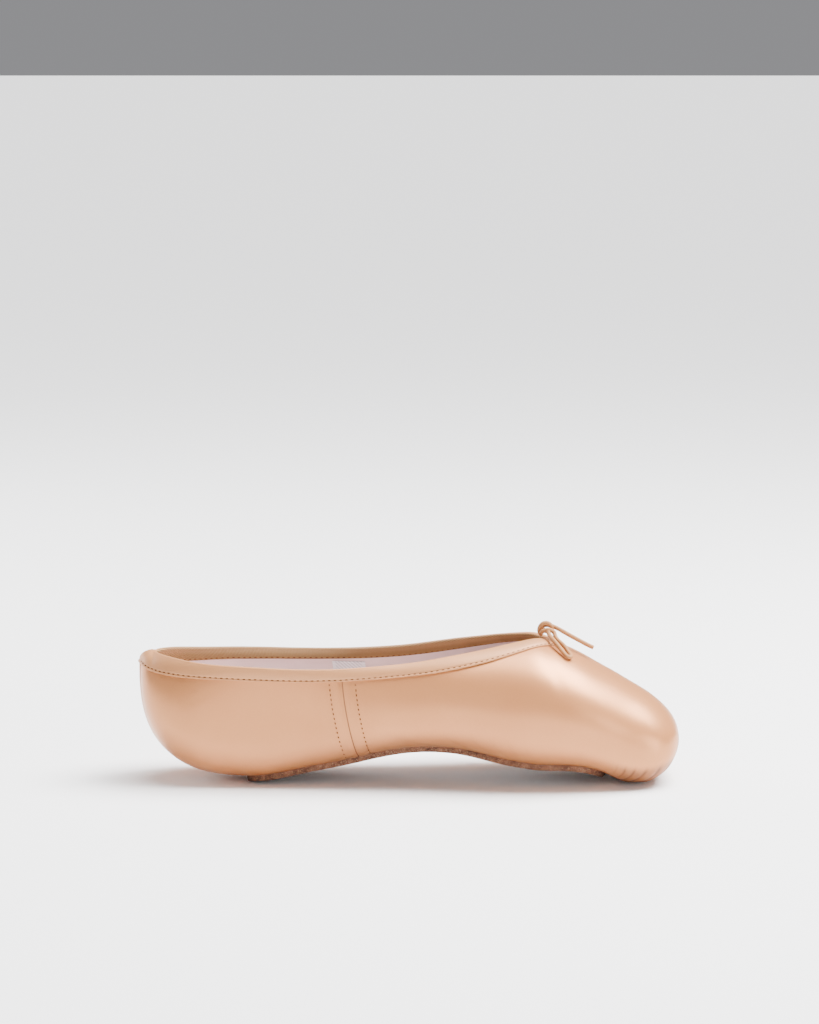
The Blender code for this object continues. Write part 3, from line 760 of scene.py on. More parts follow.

# %% [markdown]
# ## Satin
#
# Satin floats its threads over several others, so it gleams along one way and
# stays soft across it. A low, broad gloss in the cloth's own colour gives that,
# and fine thread lines in the bump break the highlight up. A mirror-like coat
# would turn it to plastic. Seams are too fine for the mesh, so the finish draws
# their dark line and the needle holes from formulas in the shoe's own sizes. It
# also paints shade into the colour under the toe, on the box's flat front, low
# over the arch and between the pleats.

# %% Satin finish
SATIN_LIGHT = (0.600, 0.252, 0.094)
SATIN_DEEP = (0.500, 0.190, 0.066)
# The colour of the painted shade under the toe, at the box's front and over the arch
SATIN_SHADE = (0.150, 0.055, 0.024)
THREAD_PITCH = 0.00022
THREAD_HEIGHT = 0.00002
CLOUD_HEIGHT = 0.0006
GRAIN_HEIGHT = 0.00003
SUNK_DEPTH = 0.00025
SEAM_TOP_HEIGHT = float(section(np.array(SIDE_SEAM_TOP))[2])
ROW_PITCH = 0.0021
BACK_GROOVE = 0.0021
BACK_SEAM_END = SOLE_SETBACK - FRAME_SHIFT
BACK_SEAM_FADE = 0.004
LINE_EDGES = (0.00010, 0.00034)
HOLE_EDGES = (0.00016, 0.00036)
GROOVE_EDGES = (0.00012, 0.00042)
MASK_SIDE = (0.012, 0.014)


def weave_bump(finish, cloud, strength, cloud_strength, slubs=0.0, under=None):
    """Thread lines along and across the cloth, with slubs if any, over a soft unevenness."""
    u, v = finish.cloth()
    threads = v.wave(THREAD_PITCH) * 0.55 + u.wave(THREAD_PITCH * 2.1) * 0.20
    if slubs:
        stretched = finish.node("ShaderNodeCombineXYZ", links={"X": u * 0.12, "Y": v})
        threads = threads + finish.noise(stretched, 900.0) * slubs
    fine = finish.bump(threads, THREAD_HEIGHT, strength, under=under)
    return finish.bump(cloud, CLOUD_HEIGHT, cloud_strength, under=fine)


def seam_masks(x, y, z):
    """How much a place is the side seam's line, and how much a needle hole beside it."""
    way = (SEAM_TOP_HEIGHT - z) * (1.0 / (SEAM_TOP_HEIGHT - SEAM_FOOT_HEIGHT))
    bow = way * (1.0 - way) * (4.0 * SIDE_SEAM_BOW)
    middle = way * (SIDE_SEAM_FOOT - SIDE_SEAM_TOP) + (SIDE_SEAM_TOP - FRAME_SHIFT) - bow
    off = abs(x - middle)
    side = abs(y).rise(*MASK_SIDE)
    line = off.near(0.0, *LINE_EDGES) * side
    holes = off.near(SEAM_ROW_OFFSET, *HOLE_EDGES) * z.wave(ROW_PITCH).rise(0.70, 0.85) * side
    behind = 1.0 - x.rise(BACK_SEAM_END - BACK_SEAM_FADE, BACK_SEAM_END)
    back = abs(y).near(BACK_GROOVE, *GROOVE_EDGES) * behind
    return line.math("MAXIMUM", back), holes


def pleat_mask(x, y, under):
    """How much a place under the toe is in the shade between two pleats."""
    turn = y.math("ARCTAN2", x - (PLEAT_CENTRE - FRAME_SHIFT))
    wander = (turn * PLEAT_WANDERS).math("SINE") * PLEAT_WANDER
    fold = (turn * (0.5 * PLEAT_COUNT) + wander).math("SINE")
    return (1.0 - abs(fold)).rise(0.35, 0.95) * under


def satin_finish():
    finish = Finish("peach_satin", 0.36, Metallic=0.38, Specular_IOR_Level=0.40)
    place = finish.place()
    cloud = finish.noise(place, 38.0)
    grain = finish.noise(place, 1400.0, detail=2.0)
    x, y, z = finish.axes(place)
    line, holes = seam_masks(x, y, z)
    shaded = finish.attribute("shade")
    between = pleat_mask(x, y, shaded)
    colour = finish.blend(cloud * 0.6 + grain * 0.4, SATIN_LIGHT, SATIN_DEEP)
    # Painted shade from the shade attribute and between the pleats, made patchy by a noise, joins
    # the seam's dark line and needle holes
    shade_patches = finish.noise(place, 260.0)
    dark = line * 0.85 + holes * 0.90 + shaded * (0.38 + shade_patches * 0.42) + between * 0.35
    finish.feed("Base Color", finish.blend(dark.math("MINIMUM", 0.92), colour, SATIN_SHADE))
    finish.feed("Roughness", cloud * 0.08 + dark * 0.25 + 0.31)
    sunk = finish.bump(1.0 - line - holes, SUNK_DEPTH, 0.8)
    weave = weave_bump(finish, cloud, 0.30, 0.22, under=sunk)
    finish.feed("Normal", finish.bump(grain, GRAIN_HEIGHT, 0.3, under=weave))
    return finish.material


satin = satin_finish()
print("satin", SATIN_LIGHT)

# %% [markdown]
# ## The satin upper
#
# One sheet of satin covers box, vamp, wings and quarters. It is modelled as the
# outer skin of the CAD wall, with the relief worked into it. The binding hides
# its top edge and the outsole its bottom edge, so that no thin edge shows.

# %% Satin upper
UPPER_ROWS = 130
RELIEF_START = 0.004
SEAM_GROOVE = 0.00025
GROOVE_WIDTH = 0.0005
TOE_START = (LENGTH - 0.034, LENGTH - 0.024)
UNDER_TURN = (0.28, 0.60)
FRONT_TURN = (0.93, 0.985)
FRONT_SHADE = 0.45
ARCH_SHADE = 0.75
ARCH_PLACE = 0.120
ARCH_REACH = 0.026
ARCH_RISE = (0.0160, 0.0280)


def satin_shade(points, facing):
    """Painted shade on the satin: under the toe, at the box's flat front and low over the arch."""
    x, z = points[..., 0], points[..., 2]
    ahead = smooth_step(x, *TOE_START)
    under = smooth_step(-facing[..., 2], *UNDER_TURN) * ahead
    front = FRONT_SHADE * smooth_step(facing[..., 0], *FRONT_TURN) * ahead
    low = 1.0 - smooth_step(z, *ARCH_RISE)
    arch = ARCH_SHADE * hump(x - ARCH_PLACE, ARCH_REACH) * low
    return np.clip(under + front + arch, 0.0, 1.0)


def down_columns(rows):
    """Distances, points and normals at even steps down every column."""
    distances = ARC_LENGTHS[:, None] * np.linspace(0.0, 1.0, rows)[None, :]
    return distances, *on_last(distances)


def make_satin():
    distances, points, facing = down_columns(UPPER_ROWS)
    x, y = points[..., 0], points[..., 1]
    relief = satin_relief(points) + toe_pleats(points)
    relief *= smooth_step(distances, RELIEF_START, BINDING_HEIGHT)
    run_out = np.clip((SOLE_SETBACK - SEAM_RUN_OUT - x) / SEAM_RUN_OUT, 0.0, 1.0)
    relief += SEAM_RISE * hump(y, 0.5 * SEAM_WIDTH) * run_out
    relief -= SEAM_GROOVE * hump(np.abs(y) - BACK_GROOVE, GROOVE_WIDTH) * run_out
    outer = points + facing * relief[..., None]
    outer[..., 2] = np.maximum(outer[..., 2], 0.0)
    shade = satin_shade(points, facing)
    return add_object("satin_upper", band(outer, facing[:, 0], shade=shade), satin)


satin_upper = make_satin()
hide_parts("upper")
print("satin upper", len(satin_upper.data.polygons), "faces")

# %% [markdown]
# ## Cotton lining
#
# Inside, the photograph shows a pale lilac-white cotton. It is the inner skin
# of the same wall, one wall's thickness in, and the wall is pared thin where the
# binding folds over it. A strip closes the wall at the bottom, where the insole
# covers it, and the binding closes it at the top.

# %% Lining finish and mesh
LINING_LIGHT = (0.800, 0.630, 0.610)
LINING_DEEP = (0.700, 0.530, 0.520)
COTTON_PITCH = 0.00045
LINING_ROWS = 64
PARED_WALL = 0.0006
FOOT_LIFT = 0.00002


def cotton_finish():
    finish = Finish("lining_cotton", 0.85, Sheen_Weight=0.15, Sheen_Roughness=0.6)
    cloud = finish.noise(finish.place(), 60.0)
    finish.feed("Base Color", finish.blend(cloud, LINING_LIGHT, LINING_DEEP))
    u, v = finish.cloth()
    weave = u.wave(COTTON_PITCH) + v.wave(COTTON_PITCH)
    finish.feed("Normal", finish.bump(weave, 0.00005, 0.5))
    return finish.material


def pared_wall(x, distances):
    """The wall's thickness, thin at the collar and whole below the binding."""
    grown = smooth_step(distances, 0.0, BINDING_TURN_IN)
    return PARED_WALL + (wall_at(x) - PARED_WALL) * grown


cotton = cotton_finish()


def make_lining():
    distances, points, facing = down_columns(LINING_ROWS)
    inner = points - facing * pared_wall(points[..., 0], distances)[..., None]
    foot = points[:, -1:] - facing[:, -1:] * FOOT_LIFT
    skin = np.concatenate([inner, foot], axis=1)
    return add_object("cotton_lining", band(skin, -facing[:, 0]), cotton)


lining = make_lining()
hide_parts("upper")
print("lining", len(lining.data.polygons), "faces")

# %% [markdown]
# ## Binding
# A bias strip is folded over the collar's edge and sewn down, and the
# drawstring runs in it. Outside it is smooth satin, pinched in by its row of
# stitches, and inside its back shows as a cream twill, its lower part turned
# golden by painted shade. It lies flat on the shoe: a round tube would look like
# piping. At the heel, where the drawstring gathers it, small slanted puckers run
# over the fold.

# %% Binding finishes
BINDING_LIGHT = (0.540, 0.248, 0.102)
BINDING_DEEP = (0.460, 0.198, 0.078)
TWILL_LIGHT = (0.540, 0.310, 0.140)
# Painted shade: the golden brown of the inner strip's lower part, where it faces down and inwards
TWILL_PAINTED_SHADE = (0.360, 0.205, 0.078)
TWILL_SHADE = (0.150, 0.075, 0.030)
TWILL_PITCH = 0.0015
TWILL_SHADE_FROM = BINDING_HEIGHT + 0.0052
TWILL_SHADE_FADE = 0.0020
TWILL_RIB_HEIGHT = 0.00030


def binding_finish():
    finish = Finish("binding_satin", 0.48, Metallic=0.18, Specular_IOR_Level=0.40)
    place = finish.place()
    cloud = finish.noise(place, 45.0)
    grain = finish.noise(place, 1400.0, detail=2.0)
    finish.feed("Base Color", finish.blend(cloud * 0.5 + grain * 0.5, BINDING_LIGHT, BINDING_DEEP))
    finish.feed("Normal", weave_bump(finish, cloud, 0.35, 0.25, slubs=0.6))
    return finish.material


def twill_finish():
    finish = Finish("binding_twill", 0.85, Specular_IOR_Level=0.25)
    u, v = finish.cloth()
    ribs = (u + v * 1.3).wave(TWILL_PITCH)
    fine = finish.noise(finish.place(), 1500.0)
    # Painted shade turns the lower part of the inner strip golden brown
    low = v.rise(TWILL_SHADE_FROM, TWILL_SHADE_FROM + TWILL_SHADE_FADE)
    cloth = finish.blend(low * 0.8, TWILL_LIGHT, TWILL_PAINTED_SHADE)
    shade = (1.0 - ribs) * 0.55 + fine * 0.22
    finish.feed("Base Color", finish.blend(shade, cloth, TWILL_SHADE))
    finish.feed("Normal", finish.bump(ribs, TWILL_RIB_HEIGHT, 0.9))
    return finish.material


binding_satin = binding_finish()
twill = twill_finish()
print("binding finishes ready")

# %% Binding mesh
OUTER_STEPS = 28
INNER_STEPS = 16
FOLD_STEPS = 7
STRIP_LIFT = 0.00062
CASING_CROWN = 0.00030
STITCH_UP = 0.0010
STITCH_SINK = 0.00022
SINK_WIDTH = 0.00030
EDGE_BEAD = 0.00014
BEAD_WIDTH = 0.00035
ROOT_LIFT = 0.00008
BACK_SEAM_REACH = 0.02
RIM_HEIGHT = BINDING_GAP + BINDING_THICKNESS
PUCKER_PITCH = 0.0021
PUCKER_DEPTH = 0.00024
PUCKER_SPAN = 0.014
PUCKER_RUN = 0.0045
PUCKER_SLANT = 0.7


def make_binding():
    """The folded strip: up the outside, over the edge and down the inside."""
    down = np.linspace(BINDING_HEIGHT, 0.0, OUTER_STEPS)
    points, facing = on_last(down[None, :])
    seam = SEAM_RISE * hump(points[..., 1], 0.5 * SEAM_WIDTH)
    seam *= points[..., 0] < BACK_SEAM_REACH
    way = down / BINDING_HEIGHT
    crown = np.sin(np.pi * np.clip(1.25 * way - 0.05, 0.0, 1.0)) ** 0.7
    up = BINDING_HEIGHT - down
    bead = EDGE_BEAD * hump(up - 0.4 * STITCH_UP, BEAD_WIDTH)
    lift = STRIP_LIFT + CASING_CROWN * crown + bead
    lift -= STITCH_SINK * hump(up - STITCH_UP, SINK_WIDTH)
    around = np.minimum(EDGE_RUN, EDGE_LENGTH - EDGE_RUN)
    gathered = PUCKER_DEPTH * (1.0 - smooth_step(around, 0.2 * PUCKER_SPAN, PUCKER_SPAN))

    def puckers(distance):
        place = around[:, None] + PUCKER_SLANT * distance[None, :]
        wave = np.sin(2.0 * np.pi * place / PUCKER_PITCH)
        return gathered[:, None] * wave * (1.0 - smooth_step(distance, 0.0, PUCKER_RUN))[None, :]

    outer = points + facing * (lift[None, :] + seam + puckers(down))[..., None]
    outer_root = points[:, :1] + facing[:, :1] * (ROOT_LIFT + seam[:, :1, None])
    turn = np.linspace(0.0, BINDING_TURN_IN, INNER_STEPS)
    inside, inward = on_last(turn[None, :])
    wall = pared_wall(inside[..., 0], turn[None, :])
    bulge = CASING_CROWN * np.sin(np.pi * turn / BINDING_TURN_IN)
    inner = inside - inward * (wall + STRIP_LIFT + bulge[None, :] + puckers(turn))[..., None]
    inner_root = inside[:, -1:] - inward[:, -1:] * (wall[:, -1:, None] + ROOT_LIFT)
    rise = unit(points[:, -1] - points[:, -2])
    centre = 0.5 * (outer[:, -1] + inner[:, 0])
    half = 0.5 * (outer[:, -1] - inner[:, 0])
    height = RIM_HEIGHT + puckers(np.zeros(1))
    angles = np.linspace(0.0, math.pi, FOLD_STEPS + 2)[1:-1]
    fold = [centre + half * math.cos(a) + rise * height * math.sin(a) for a in angles]
    fold = np.stack(fold, axis=1)
    strip = np.concatenate([outer_root, outer, fold, inner, inner_root], axis=1)
    sheet = band(strip, facing[:, 2], row=2, second_from=OUTER_STEPS + 3)
    return add_object("folded_binding", sheet, binding_satin, twill)


binding = make_binding()
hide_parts("binding")
print("binding", len(binding.data.polygons), "faces")

# %% [markdown]
# ## Stitches
#
# At this scale a stitch shows as a short dark dash. Each one is a small capsule
# of thread pressed into the cloth, and all of a row are one mesh. A drawn line
# of dashes in the finish would vanish when the light comes from the side.

# %% Stitch rows
STITCH_PITCH = 0.0025
STITCH_SHARE = 0.48
STITCH_RADIUS = 0.00028
STITCH_FLATNESS = 0.7
THREAD_LIFT = 0.00010
THREAD_COLOUR = (0.110, 0.042, 0.018)
THREAD_SHADE = tuple(c * 0.7 for c in THREAD_COLOUR)


def thread_finish():
    finish = Finish("sewing_thread", 0.8, Specular_IOR_Level=0.10)
    cloud = finish.noise(finish.place(), 700.0)
    finish.feed("Base Color", finish.blend(cloud, THREAD_COLOUR, THREAD_SHADE))
    return finish.material


thread = thread_finish()


def walk(line, pitch, share):
    """Start and end of each stitch along a line of points with normals."""
    run = run_along(line[0])
    starts = np.arange(0.0, run[-1] - pitch, pitch)
    stations = np.stack([starts, starts + pitch * share], axis=1)
    return [
        np.stack([np.interp(stations, run, column) for column in rows.T], axis=-1)
        for rows in line
    ]


def sew(name, lines, pitch, share, radius):
    """One mesh of small capsules along several lines."""
    mesh = bmesh.new()
    for line in lines:
        for (a, b), out in zip(*walk(line, pitch, share)):
            made = bmesh.ops.create_icosphere(mesh, subdivisions=2, radius=radius)
            a, b, normal = Vector(a), Vector(b), Vector(out[0] + out[1]).normalized()
            way = (b - a).normalized()
            side = normal.cross(way).normalized()
            turn = Matrix((way, side, normal)).transposed()
            half = max(0.5 * (b - a).length - radius, 0.0)
            middle = 0.5 * (a + b)
            for vertex in made["verts"]:
                x, y, z = vertex.co
                x += half * math.copysign(1.0, x)
                vertex.co = middle + turn @ Vector((x, y, STITCH_FLATNESS * z))
    return add_object(name, mesh, thread)


def collar_line(distance, lift, inside=False):
    """A line round the collar at a distance down the columns, lifted off the strip's face."""
    points, facing = on_last(np.array([[distance]]))
    if inside:
        wall = pared_wall(points[..., 0], np.full((len(points), 1), distance))
        points, facing = points - facing * wall[..., None], -facing
    line = to_frame(points + facing * lift)[:, 0]
    facing = facing[:, 0]
    return np.concatenate([line, line[:1]]), np.concatenate([facing, facing[:1]])


outer_line = collar_line(BINDING_HEIGHT - STITCH_UP, STRIP_LIFT - STITCH_SINK + THREAD_LIFT)
inner_line = collar_line(BINDING_TURN_IN - STITCH_UP, STRIP_LIFT, inside=True)
binding_stitches = sew(
    "binding_stitches", [outer_line, inner_line], STITCH_PITCH, STITCH_SHARE, STITCH_RADIUS
)
print("binding stitches", len(binding_stitches.data.polygons), "faces")

# %% Side seam stitch rows
SEAM_SAMPLES = 60
SURFACE_STEP = 1e-4
ROW_TOP = SEAM_TOP_HEIGHT - BINDING_HEIGHT - 0.0006
ROW_LIFT = 0.00002
ROW_SHARE = 0.36
ROW_RADIUS = 0.00019


def wall_line(side, offset, heights, lift):
    """Points and normals on the last beside the side seam, at some heights."""
    x = seam_x(heights) + offset
    start = np.stack([x, np.zeros_like(x), heights], axis=-1)
    way = np.zeros_like(start)
    way[..., 1] = side
    far = reach_out(start, way, outside)
    points = start + way * far[..., None]
    across, up = (
        (reach_out(start + np.array(step), way, outside) - far) / SURFACE_STEP
        for step in ((SURFACE_STEP, 0.0, 0.0), (0.0, 0.0, SURFACE_STEP))
    )
    facing = unit(np.stack([-across, np.full_like(x, float(side)), -up], axis=-1))
    return points + facing * lift, facing


def seam_row(side, offset):
    """A stitch row beside the side seam, from the binding down to the sole."""
    heights = np.linspace(ROW_TOP, SEAM_FOOT_HEIGHT, SEAM_SAMPLES)
    points, facing = wall_line(side, offset, heights, ROW_LIFT)
    return to_frame(points), facing


rows = [seam_row(side, way * SEAM_ROW_OFFSET) for side in (-1, 1) for way in (-1, 1)]
seam_stitches = sew("side_seam_stitches", rows, ROW_PITCH, ROW_SHARE, ROW_RADIUS)
print("side seam stitches", len(seam_stitches.data.polygons), "faces")

# %% [markdown]
# ## White tape inside
#
# A white twill tape covers each side seam on the inside. It is a strip of grid
# laid on the lining and thickened, tucked under the binding at its top.

# %% Thick sheets
SHARP_ANGLE = 40.0


def thicken(mesh, faces):
    """Extrude faces and keep them; the new vertices come back."""
    grown = bmesh.ops.extrude_face_region(mesh, geom=faces, use_keep_orig=True)
    return [part for part in grown["geom"] if isinstance(part, bmesh.types.BMVert)]


def add_sheet(name, mesh, finish):
    """A thick sheet as an object that keeps its corners sharp."""
    bmesh.ops.recalc_face_normals(mesh, faces=mesh.faces)
    item = add_object(name, mesh, finish)
    item.data.set_sharp_from_angle(angle=math.radians(SHARP_ANGLE))
    return item


print("sheets keep corners over", SHARP_ANGLE, "degrees")

# %% Seam tape
TAPE_WIDTH = 0.0148
TAPE_THICKNESS = 0.00030
TAPE_LIFT = 0.00012
TAPE_FOOT = 0.0215
TAPE_SHIFT = 0.0018
TAPE_TOP = SEAM_TOP_HEIGHT - BINDING_TURN_IN + 0.0012
TAPE_RIB_PITCH = 0.0017
SELVAGE_PITCH = 0.0009
SELVAGE = (0.5 * TAPE_WIDTH - 0.0016, 0.5 * TAPE_WIDTH - 0.0012)
TAPE_WHITE = (0.800, 0.780, 0.800)
TAPE_GREY = (0.560, 0.530, 0.560)


def tape_finish():
    finish = Finish("seam_tape", 0.8, Sheen_Weight=0.15, Sheen_Roughness=0.5)
    u, v = finish.cloth()
    selvage = abs(u).rise(*SELVAGE)
    ribs = (u + v).wave(TAPE_RIB_PITCH) * (1.0 - selvage)
    ribs = ribs + v.wave(SELVAGE_PITCH) * 0.4 * selvage
    finish.feed("Base Color", finish.blend(ribs, TAPE_WHITE, TAPE_GREY))
    finish.feed("Normal", finish.bump(ribs, 0.00014, 0.7))
    return finish.material


def add_tapes():
    mesh = bmesh.new()
    uv = mesh.loops.layers.uv.new("cloth")
    for side in (-1, 1):
        made = bmesh.ops.create_grid(mesh, x_segments=16, y_segments=44, size=1.0)["verts"]
        flat = np.array([v.co for v in made])
        across = 0.5 * TAPE_WIDTH * flat[:, 0]
        heights = TAPE_FOOT + (TAPE_TOP - TAPE_FOOT) * 0.5 * (flat[:, 1] + 1.0)
        points, facing = wall_line(side, across + TAPE_SHIFT, heights, 0.0)
        near = points - facing * (wall_at(points[:, 0]) + TAPE_LIFT)[:, None]
        order = {v: i for i, v in enumerate(made)}
        faces = list({f for v in made for f in v.link_faces})
        for face in faces:
            for loop in face.loops:
                i = order[loop.vert]
                loop[uv].uv = (across[i], heights[i])
        for vertex in thicken(mesh, faces):
            i = int(np.abs(flat - np.array(vertex.co)).sum(axis=1).argmin())
            vertex.co = to_frame(near[i] - facing[i] * TAPE_THICKNESS)
        for i, vertex in enumerate(made):
            vertex.co = to_frame(near[i])
    item = add_sheet("seam_tapes", mesh, tape_finish())
    return item


tapes = add_tapes()
print("tapes", len(tapes.data.polygons), "faces")

# %% [markdown]
# ## Soles
#
# The outsole is rough brown leather, cut square at both ends. Its nap comes
# from the finish. The insole inside is board under cotton.
# Both are a grid laid under the last and thickened.

# %% Leather finish
LEATHER_FACE = (0.185, 0.084, 0.047)
LEATHER_NAP = (0.070, 0.030, 0.018)
LEATHER_FLECK = (0.420, 0.240, 0.150)


def leather_finish():
    finish = Finish("rough_leather", 0.9, Specular_IOR_Level=0.25)
    place = finish.place()
    coarse = finish.noise(place, 420.0, detail=5.0)
    fine = finish.noise(place, 1900.0)
    base = finish.blend(coarse.rise(0.35, 0.65), LEATHER_NAP, LEATHER_FACE)
    finish.feed("Base Color", finish.blend(fine.rise(0.52, 0.66) * 0.55, base, LEATHER_FLECK))
    finish.feed("Normal", finish.bump(coarse + fine * 0.6, 0.00035, 0.9))
    return finish.material


leather = leather_finish()
print("leather", LEATHER_FACE)

# %% A board under the last
STATIONS = 150
BANDS = 40
SLOPE_STEP = 1e-5
SOLE_LIFT = 0.00006


def board(name, start, length, half_at, near_at, thickness, side, finish):
    """A grid that follows the last's underside, extruded to its thickness."""
    mesh = bmesh.new()
    uv = mesh.loops.layers.uv.new("cloth")
    bmesh.ops.create_grid(mesh, x_segments=STATIONS, y_segments=BANDS, size=1.0)
    for vertex in mesh.verts:
        x = start + length * 0.5 * (1.0 - math.cos(math.pi * 0.5 * (vertex.co.x + 1.0)))
        across = math.sin(0.5 * math.pi * vertex.co.y)
        vertex.co = (x, across * float(half_at(np.array(x))), 0.0)
    bmesh.ops.remove_doubles(mesh, verts=mesh.verts, dist=MERGE_DISTANCE)
    far_side = set(thicken(mesh, list(mesh.faces)))
    verts = list(mesh.verts)
    x = np.array([v.co.x for v in verts])
    y = np.array([v.co.y for v in verts])
    depth = np.where([v in far_side for v in verts], thickness, 0.0) + near_at(x)
    slope_x = underside(x + SLOPE_STEP, y) - underside(x - SLOPE_STEP, y)
    slope_y = underside(x, y + SLOPE_STEP) - underside(x, y - SLOPE_STEP)
    down = np.stack([slope_x, slope_y, np.full_like(x, -2.0 * SLOPE_STEP)], axis=1)
    points = np.stack([x, y, underside(x, y)], axis=1) + unit(down) * side * depth[:, None]
    points[:, 2] = np.maximum(points[:, 2], 0.0)
    for vertex, point in zip(verts, to_frame(points)):
        vertex.co = point
    for face in mesh.faces:
        for loop in face.loops:
            loop[uv].uv = (loop.vert.co.x, loop.vert.co.y)
    return add_sheet(name, mesh, finish)


def outsole_depth(x):
    """From the last to the outsole, which lies close on the satin."""
    return np.full_like(x, SOLE_LIFT)


def insole_depth(x):
    """From the last in to the insole, through the upper's wall."""
    return wall_at(x) + INSOLE_GAP


outsole = board(
    "leather_outsole", SOLE_SETBACK, SOLE_LENGTH, sole_half,
    outsole_depth, SOLE_THICKNESS + FIT_GAP - SOLE_LIFT, 1.0, leather,
)
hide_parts("outsole")
insole = board(
    "covered_insole", INSOLE_SETBACK, INSOLE_LENGTH, insole_half,
    insole_depth, INSOLE_THICKNESS, -1.0, cotton,
)
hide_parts("insole")
print("outsole", len(outsole.data.polygons), "faces, insole", len(insole.data.polygons))

# %% [markdown]
# ## Drawstring
#
# One round cord comes out of the casing at the throat and is tied there. One
# end lies in the air over the vamp, and a small loop lies on the near side. The
# knot is a tight wrap of the same cord. Each cord is a curve on a given route,
# so it keeps its thickness and its real length.

# %% Cord finish
CORD_LIGHT = (0.480, 0.222, 0.080)
CORD_DEEP = (0.250, 0.100, 0.034)
PLAIT_PITCH = 0.0008
PLAIT_HEIGHT = 0.00006


def cord_finish():
    finish = Finish("drawstring_cord", 0.60, Specular_IOR_Level=0.30)
    place = finish.place()
    x, y, z = finish.axes(place)
    plait = (x + z * 0.8 + y * 0.9).wave(PLAIT_PITCH)
    cloud = finish.noise(place, 900.0)
    finish.feed("Base Color", finish.blend(plait * 0.35 + cloud * 0.40, CORD_LIGHT, CORD_DEEP))
    finish.feed("Normal", finish.bump(plait, PLAIT_HEIGHT, 0.5))
    return finish.material


cord_material = cord_finish()
print("cord", CORD_LIGHT)

# %% Routes of the cord
LOOP_ROUTE = [
    (0.0648, -0.0035, 0.0660), (0.0655, -0.0048, 0.0643), (0.0664, -0.0064, 0.0630),
    (0.0677, -0.0083, 0.0621), (0.0692, -0.0102, 0.0609), (0.0706, -0.0123, 0.0592),
    (0.0716, -0.0145, 0.0580), (0.0719, -0.0165, 0.0573), (0.0709, -0.0177, 0.0573),
    (0.0693, -0.0166, 0.0583), (0.0677, -0.0146, 0.0600), (0.0661, -0.0124, 0.0618),
    (0.0646, -0.0100, 0.0633), (0.0635, -0.0077, 0.0643), (0.0627, -0.0060, 0.0653),
    (0.0623, -0.0049, 0.0664),
]
END_ROUTE = [
    (0.0668, -0.0005, 0.0670), (0.0692, -0.0008, 0.0657), (0.0722, -0.0010, 0.0640),
    (0.0755, -0.0011, 0.0622), (0.0790, -0.0011, 0.0603), (0.0826, -0.0010, 0.0585),
]

# The knot's wrap, which ends where the long end starts, and the band across its front
KNOT_WRAP = [
    (0.0596, 0.0006, 0.0640), (0.0586, -0.0004, 0.0657), (0.0589, -0.0010, 0.0680),
    (0.0608, -0.0012, 0.0696), (0.0630, -0.0011, 0.0692), (0.0641, -0.0006, 0.0674),
    (0.0630, 0.0008, 0.0656), (0.0606, 0.0018, 0.0660), (0.0602, 0.0022, 0.0676),
    (0.0622, 0.0018, 0.0682), (0.0646, 0.0006, 0.0678),
]
KNOT_BAND = [(0.0592, -0.0022, 0.0652), (0.0604, -0.0032, 0.0664), (0.0626, -0.0036, 0.0670)]


def smooth_route(route, spacing=0.35):
    """Points close together on a smooth curve through a route."""
    route = np.array(route)
    run = run_along(route)
    wanted = np.linspace(0.0, run[-1], int(run[-1] / (CORD_DIAMETER * spacing)) + 2)
    return np.stack([curve_through(run, column, wanted) for column in route.T], axis=1)


def cord_length(points):
    return float(run_along(points)[-1])


def make_cord(name, route):
    """A cord as a curve of one open spline."""
    points = smooth_route(route)
    curve = bpy.data.curves.new(name, "CURVE")
    curve.dimensions = "3D"
    curve.bevel_depth = 0.5 * CORD_DIAMETER
    curve.bevel_resolution = 5
    curve.use_fill_caps = True
    spline = curve.splines.new("POLY")
    spline.points.add(len(points) - 1)
    for point, place in zip(spline.points, points):
        point.co = (*place, 1.0)
    curve.materials.append(cord_material)
    item = put_object(name, curve)
    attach(item, "root")
    return item, points


end_cord, end_points = make_cord("drawstring_long_end", KNOT_WRAP + END_ROUTE)
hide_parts("drawstring_knot", "drawstring_end")
loop_cord, loop_points = make_cord("drawstring_half_bow", KNOT_BAND + LOOP_ROUTE)
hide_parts("drawstring_loop")
print("cords", round(cord_length(end_points), 4), round(cord_length(loop_points), 4))

# %% [markdown]
# ## Floor and light
#
# The studio is a wide pale floor. A sun with a very wide disc stands for the
# soft sky over it. One broad lamp stands above the toe, where its mirror image
# falls on the vamp, and makes the long gleam. Weaker ones fill the near side,
# light the toe from ahead and draw the pale edge behind the heel.

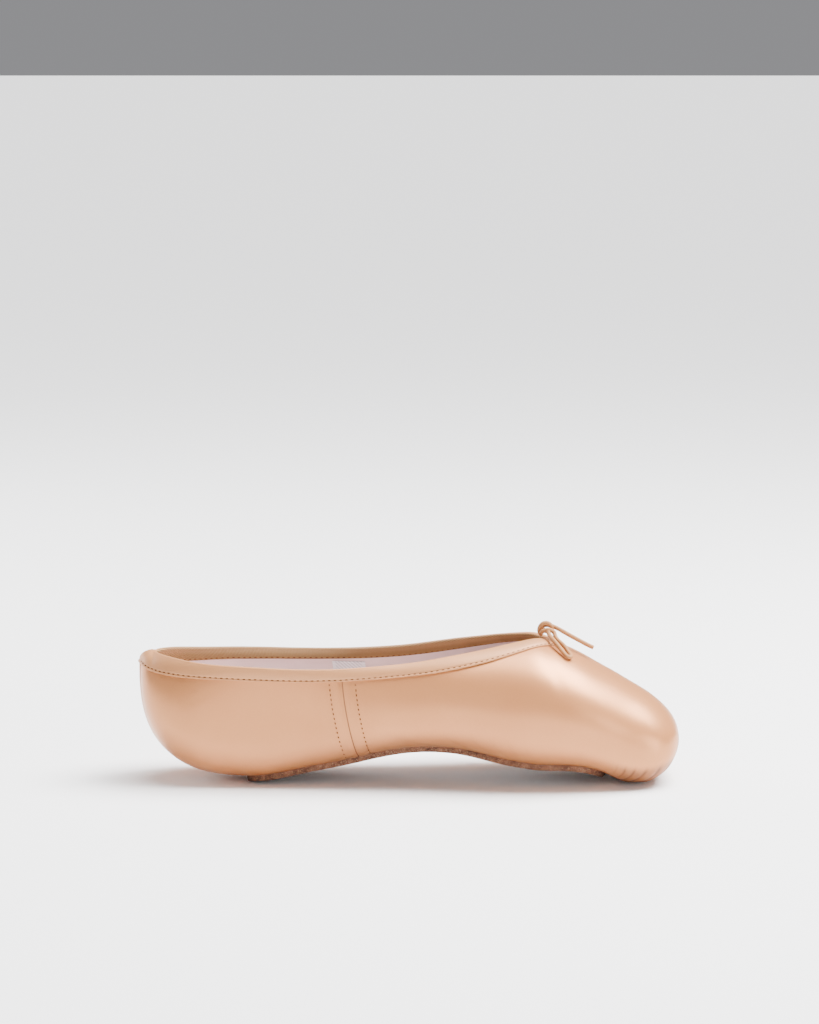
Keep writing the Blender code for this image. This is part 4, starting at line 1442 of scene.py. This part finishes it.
# %% Studio
FLOOR_WIDTH = 60.0
FLOOR_DROP = 0.0002
FLOOR_WHITE = (0.96, 0.96, 0.965, 1.0)
SKY_FROM = (0.30, 0.12, 0.95)
SKY_POWER = 6.2
SKY_SPREAD = 55.0
WORLD_WHITE = (0.96, 0.96, 1.0, 1.0)
WORLD_STRENGTH = 0.30

floor_finish = Finish("studio_floor", 0.9, Specular_IOR_Level=0.1)
floor_finish.shader.inputs["Base Color"].default_value = FLOOR_WHITE
floor_mesh = bmesh.new()
bmesh.ops.create_grid(floor_mesh, x_segments=1, y_segments=1, size=0.5 * FLOOR_WIDTH)
bmesh.ops.translate(floor_mesh, vec=(0.0, 0.0, -FLOOR_DROP), verts=floor_mesh.verts)
floor = mesh_object("floor", floor_mesh, floor_finish.material)


def add_lamp(name, place, aim, size, power):
    light = bpy.data.lights.new(name, "AREA")
    light.size = size
    light.energy = power
    item = put_object(name, light)
    item.location = place
    item.rotation_euler = (Vector(aim) - Vector(place)).to_track_quat("-Z", "Y").to_euler()


add_lamp("key_light", (0.56, 0.12, 1.05), (0.06, 0.0, 0.03), 0.72, 50.0)
add_lamp("near_fill", (-0.5, -1.9, 0.75), (0.0, 0.0, 0.03), 1.2, 6.0)
add_lamp("toe_light", (1.10, -0.80, 0.22), (0.09, 0.0, 0.02), 0.45, 8.0)
add_lamp("heel_light", (-1.0, 0.75, 0.35), (-0.1, 0.0, 0.03), 0.5, 12.0)
sky = bpy.data.lights.new("sky_light", "SUN")
sky.energy = SKY_POWER
sky.angle = math.radians(SKY_SPREAD)
sky_item = put_object("sky_light", sky)
sky_item.rotation_euler = Vector(SKY_FROM).to_track_quat("Z", "Y").to_euler()
world = bpy.data.worlds.new("studio")
world.use_nodes = True
background = world.node_tree.nodes["Background"]
background.inputs["Color"].default_value = WORLD_WHITE
background.inputs["Strength"].default_value = WORLD_STRENGTH
bpy.context.scene.world = world
print("studio ready")

# The dressed shoe must be as large as the solids, apart from the little that
# cloth may stand proud.
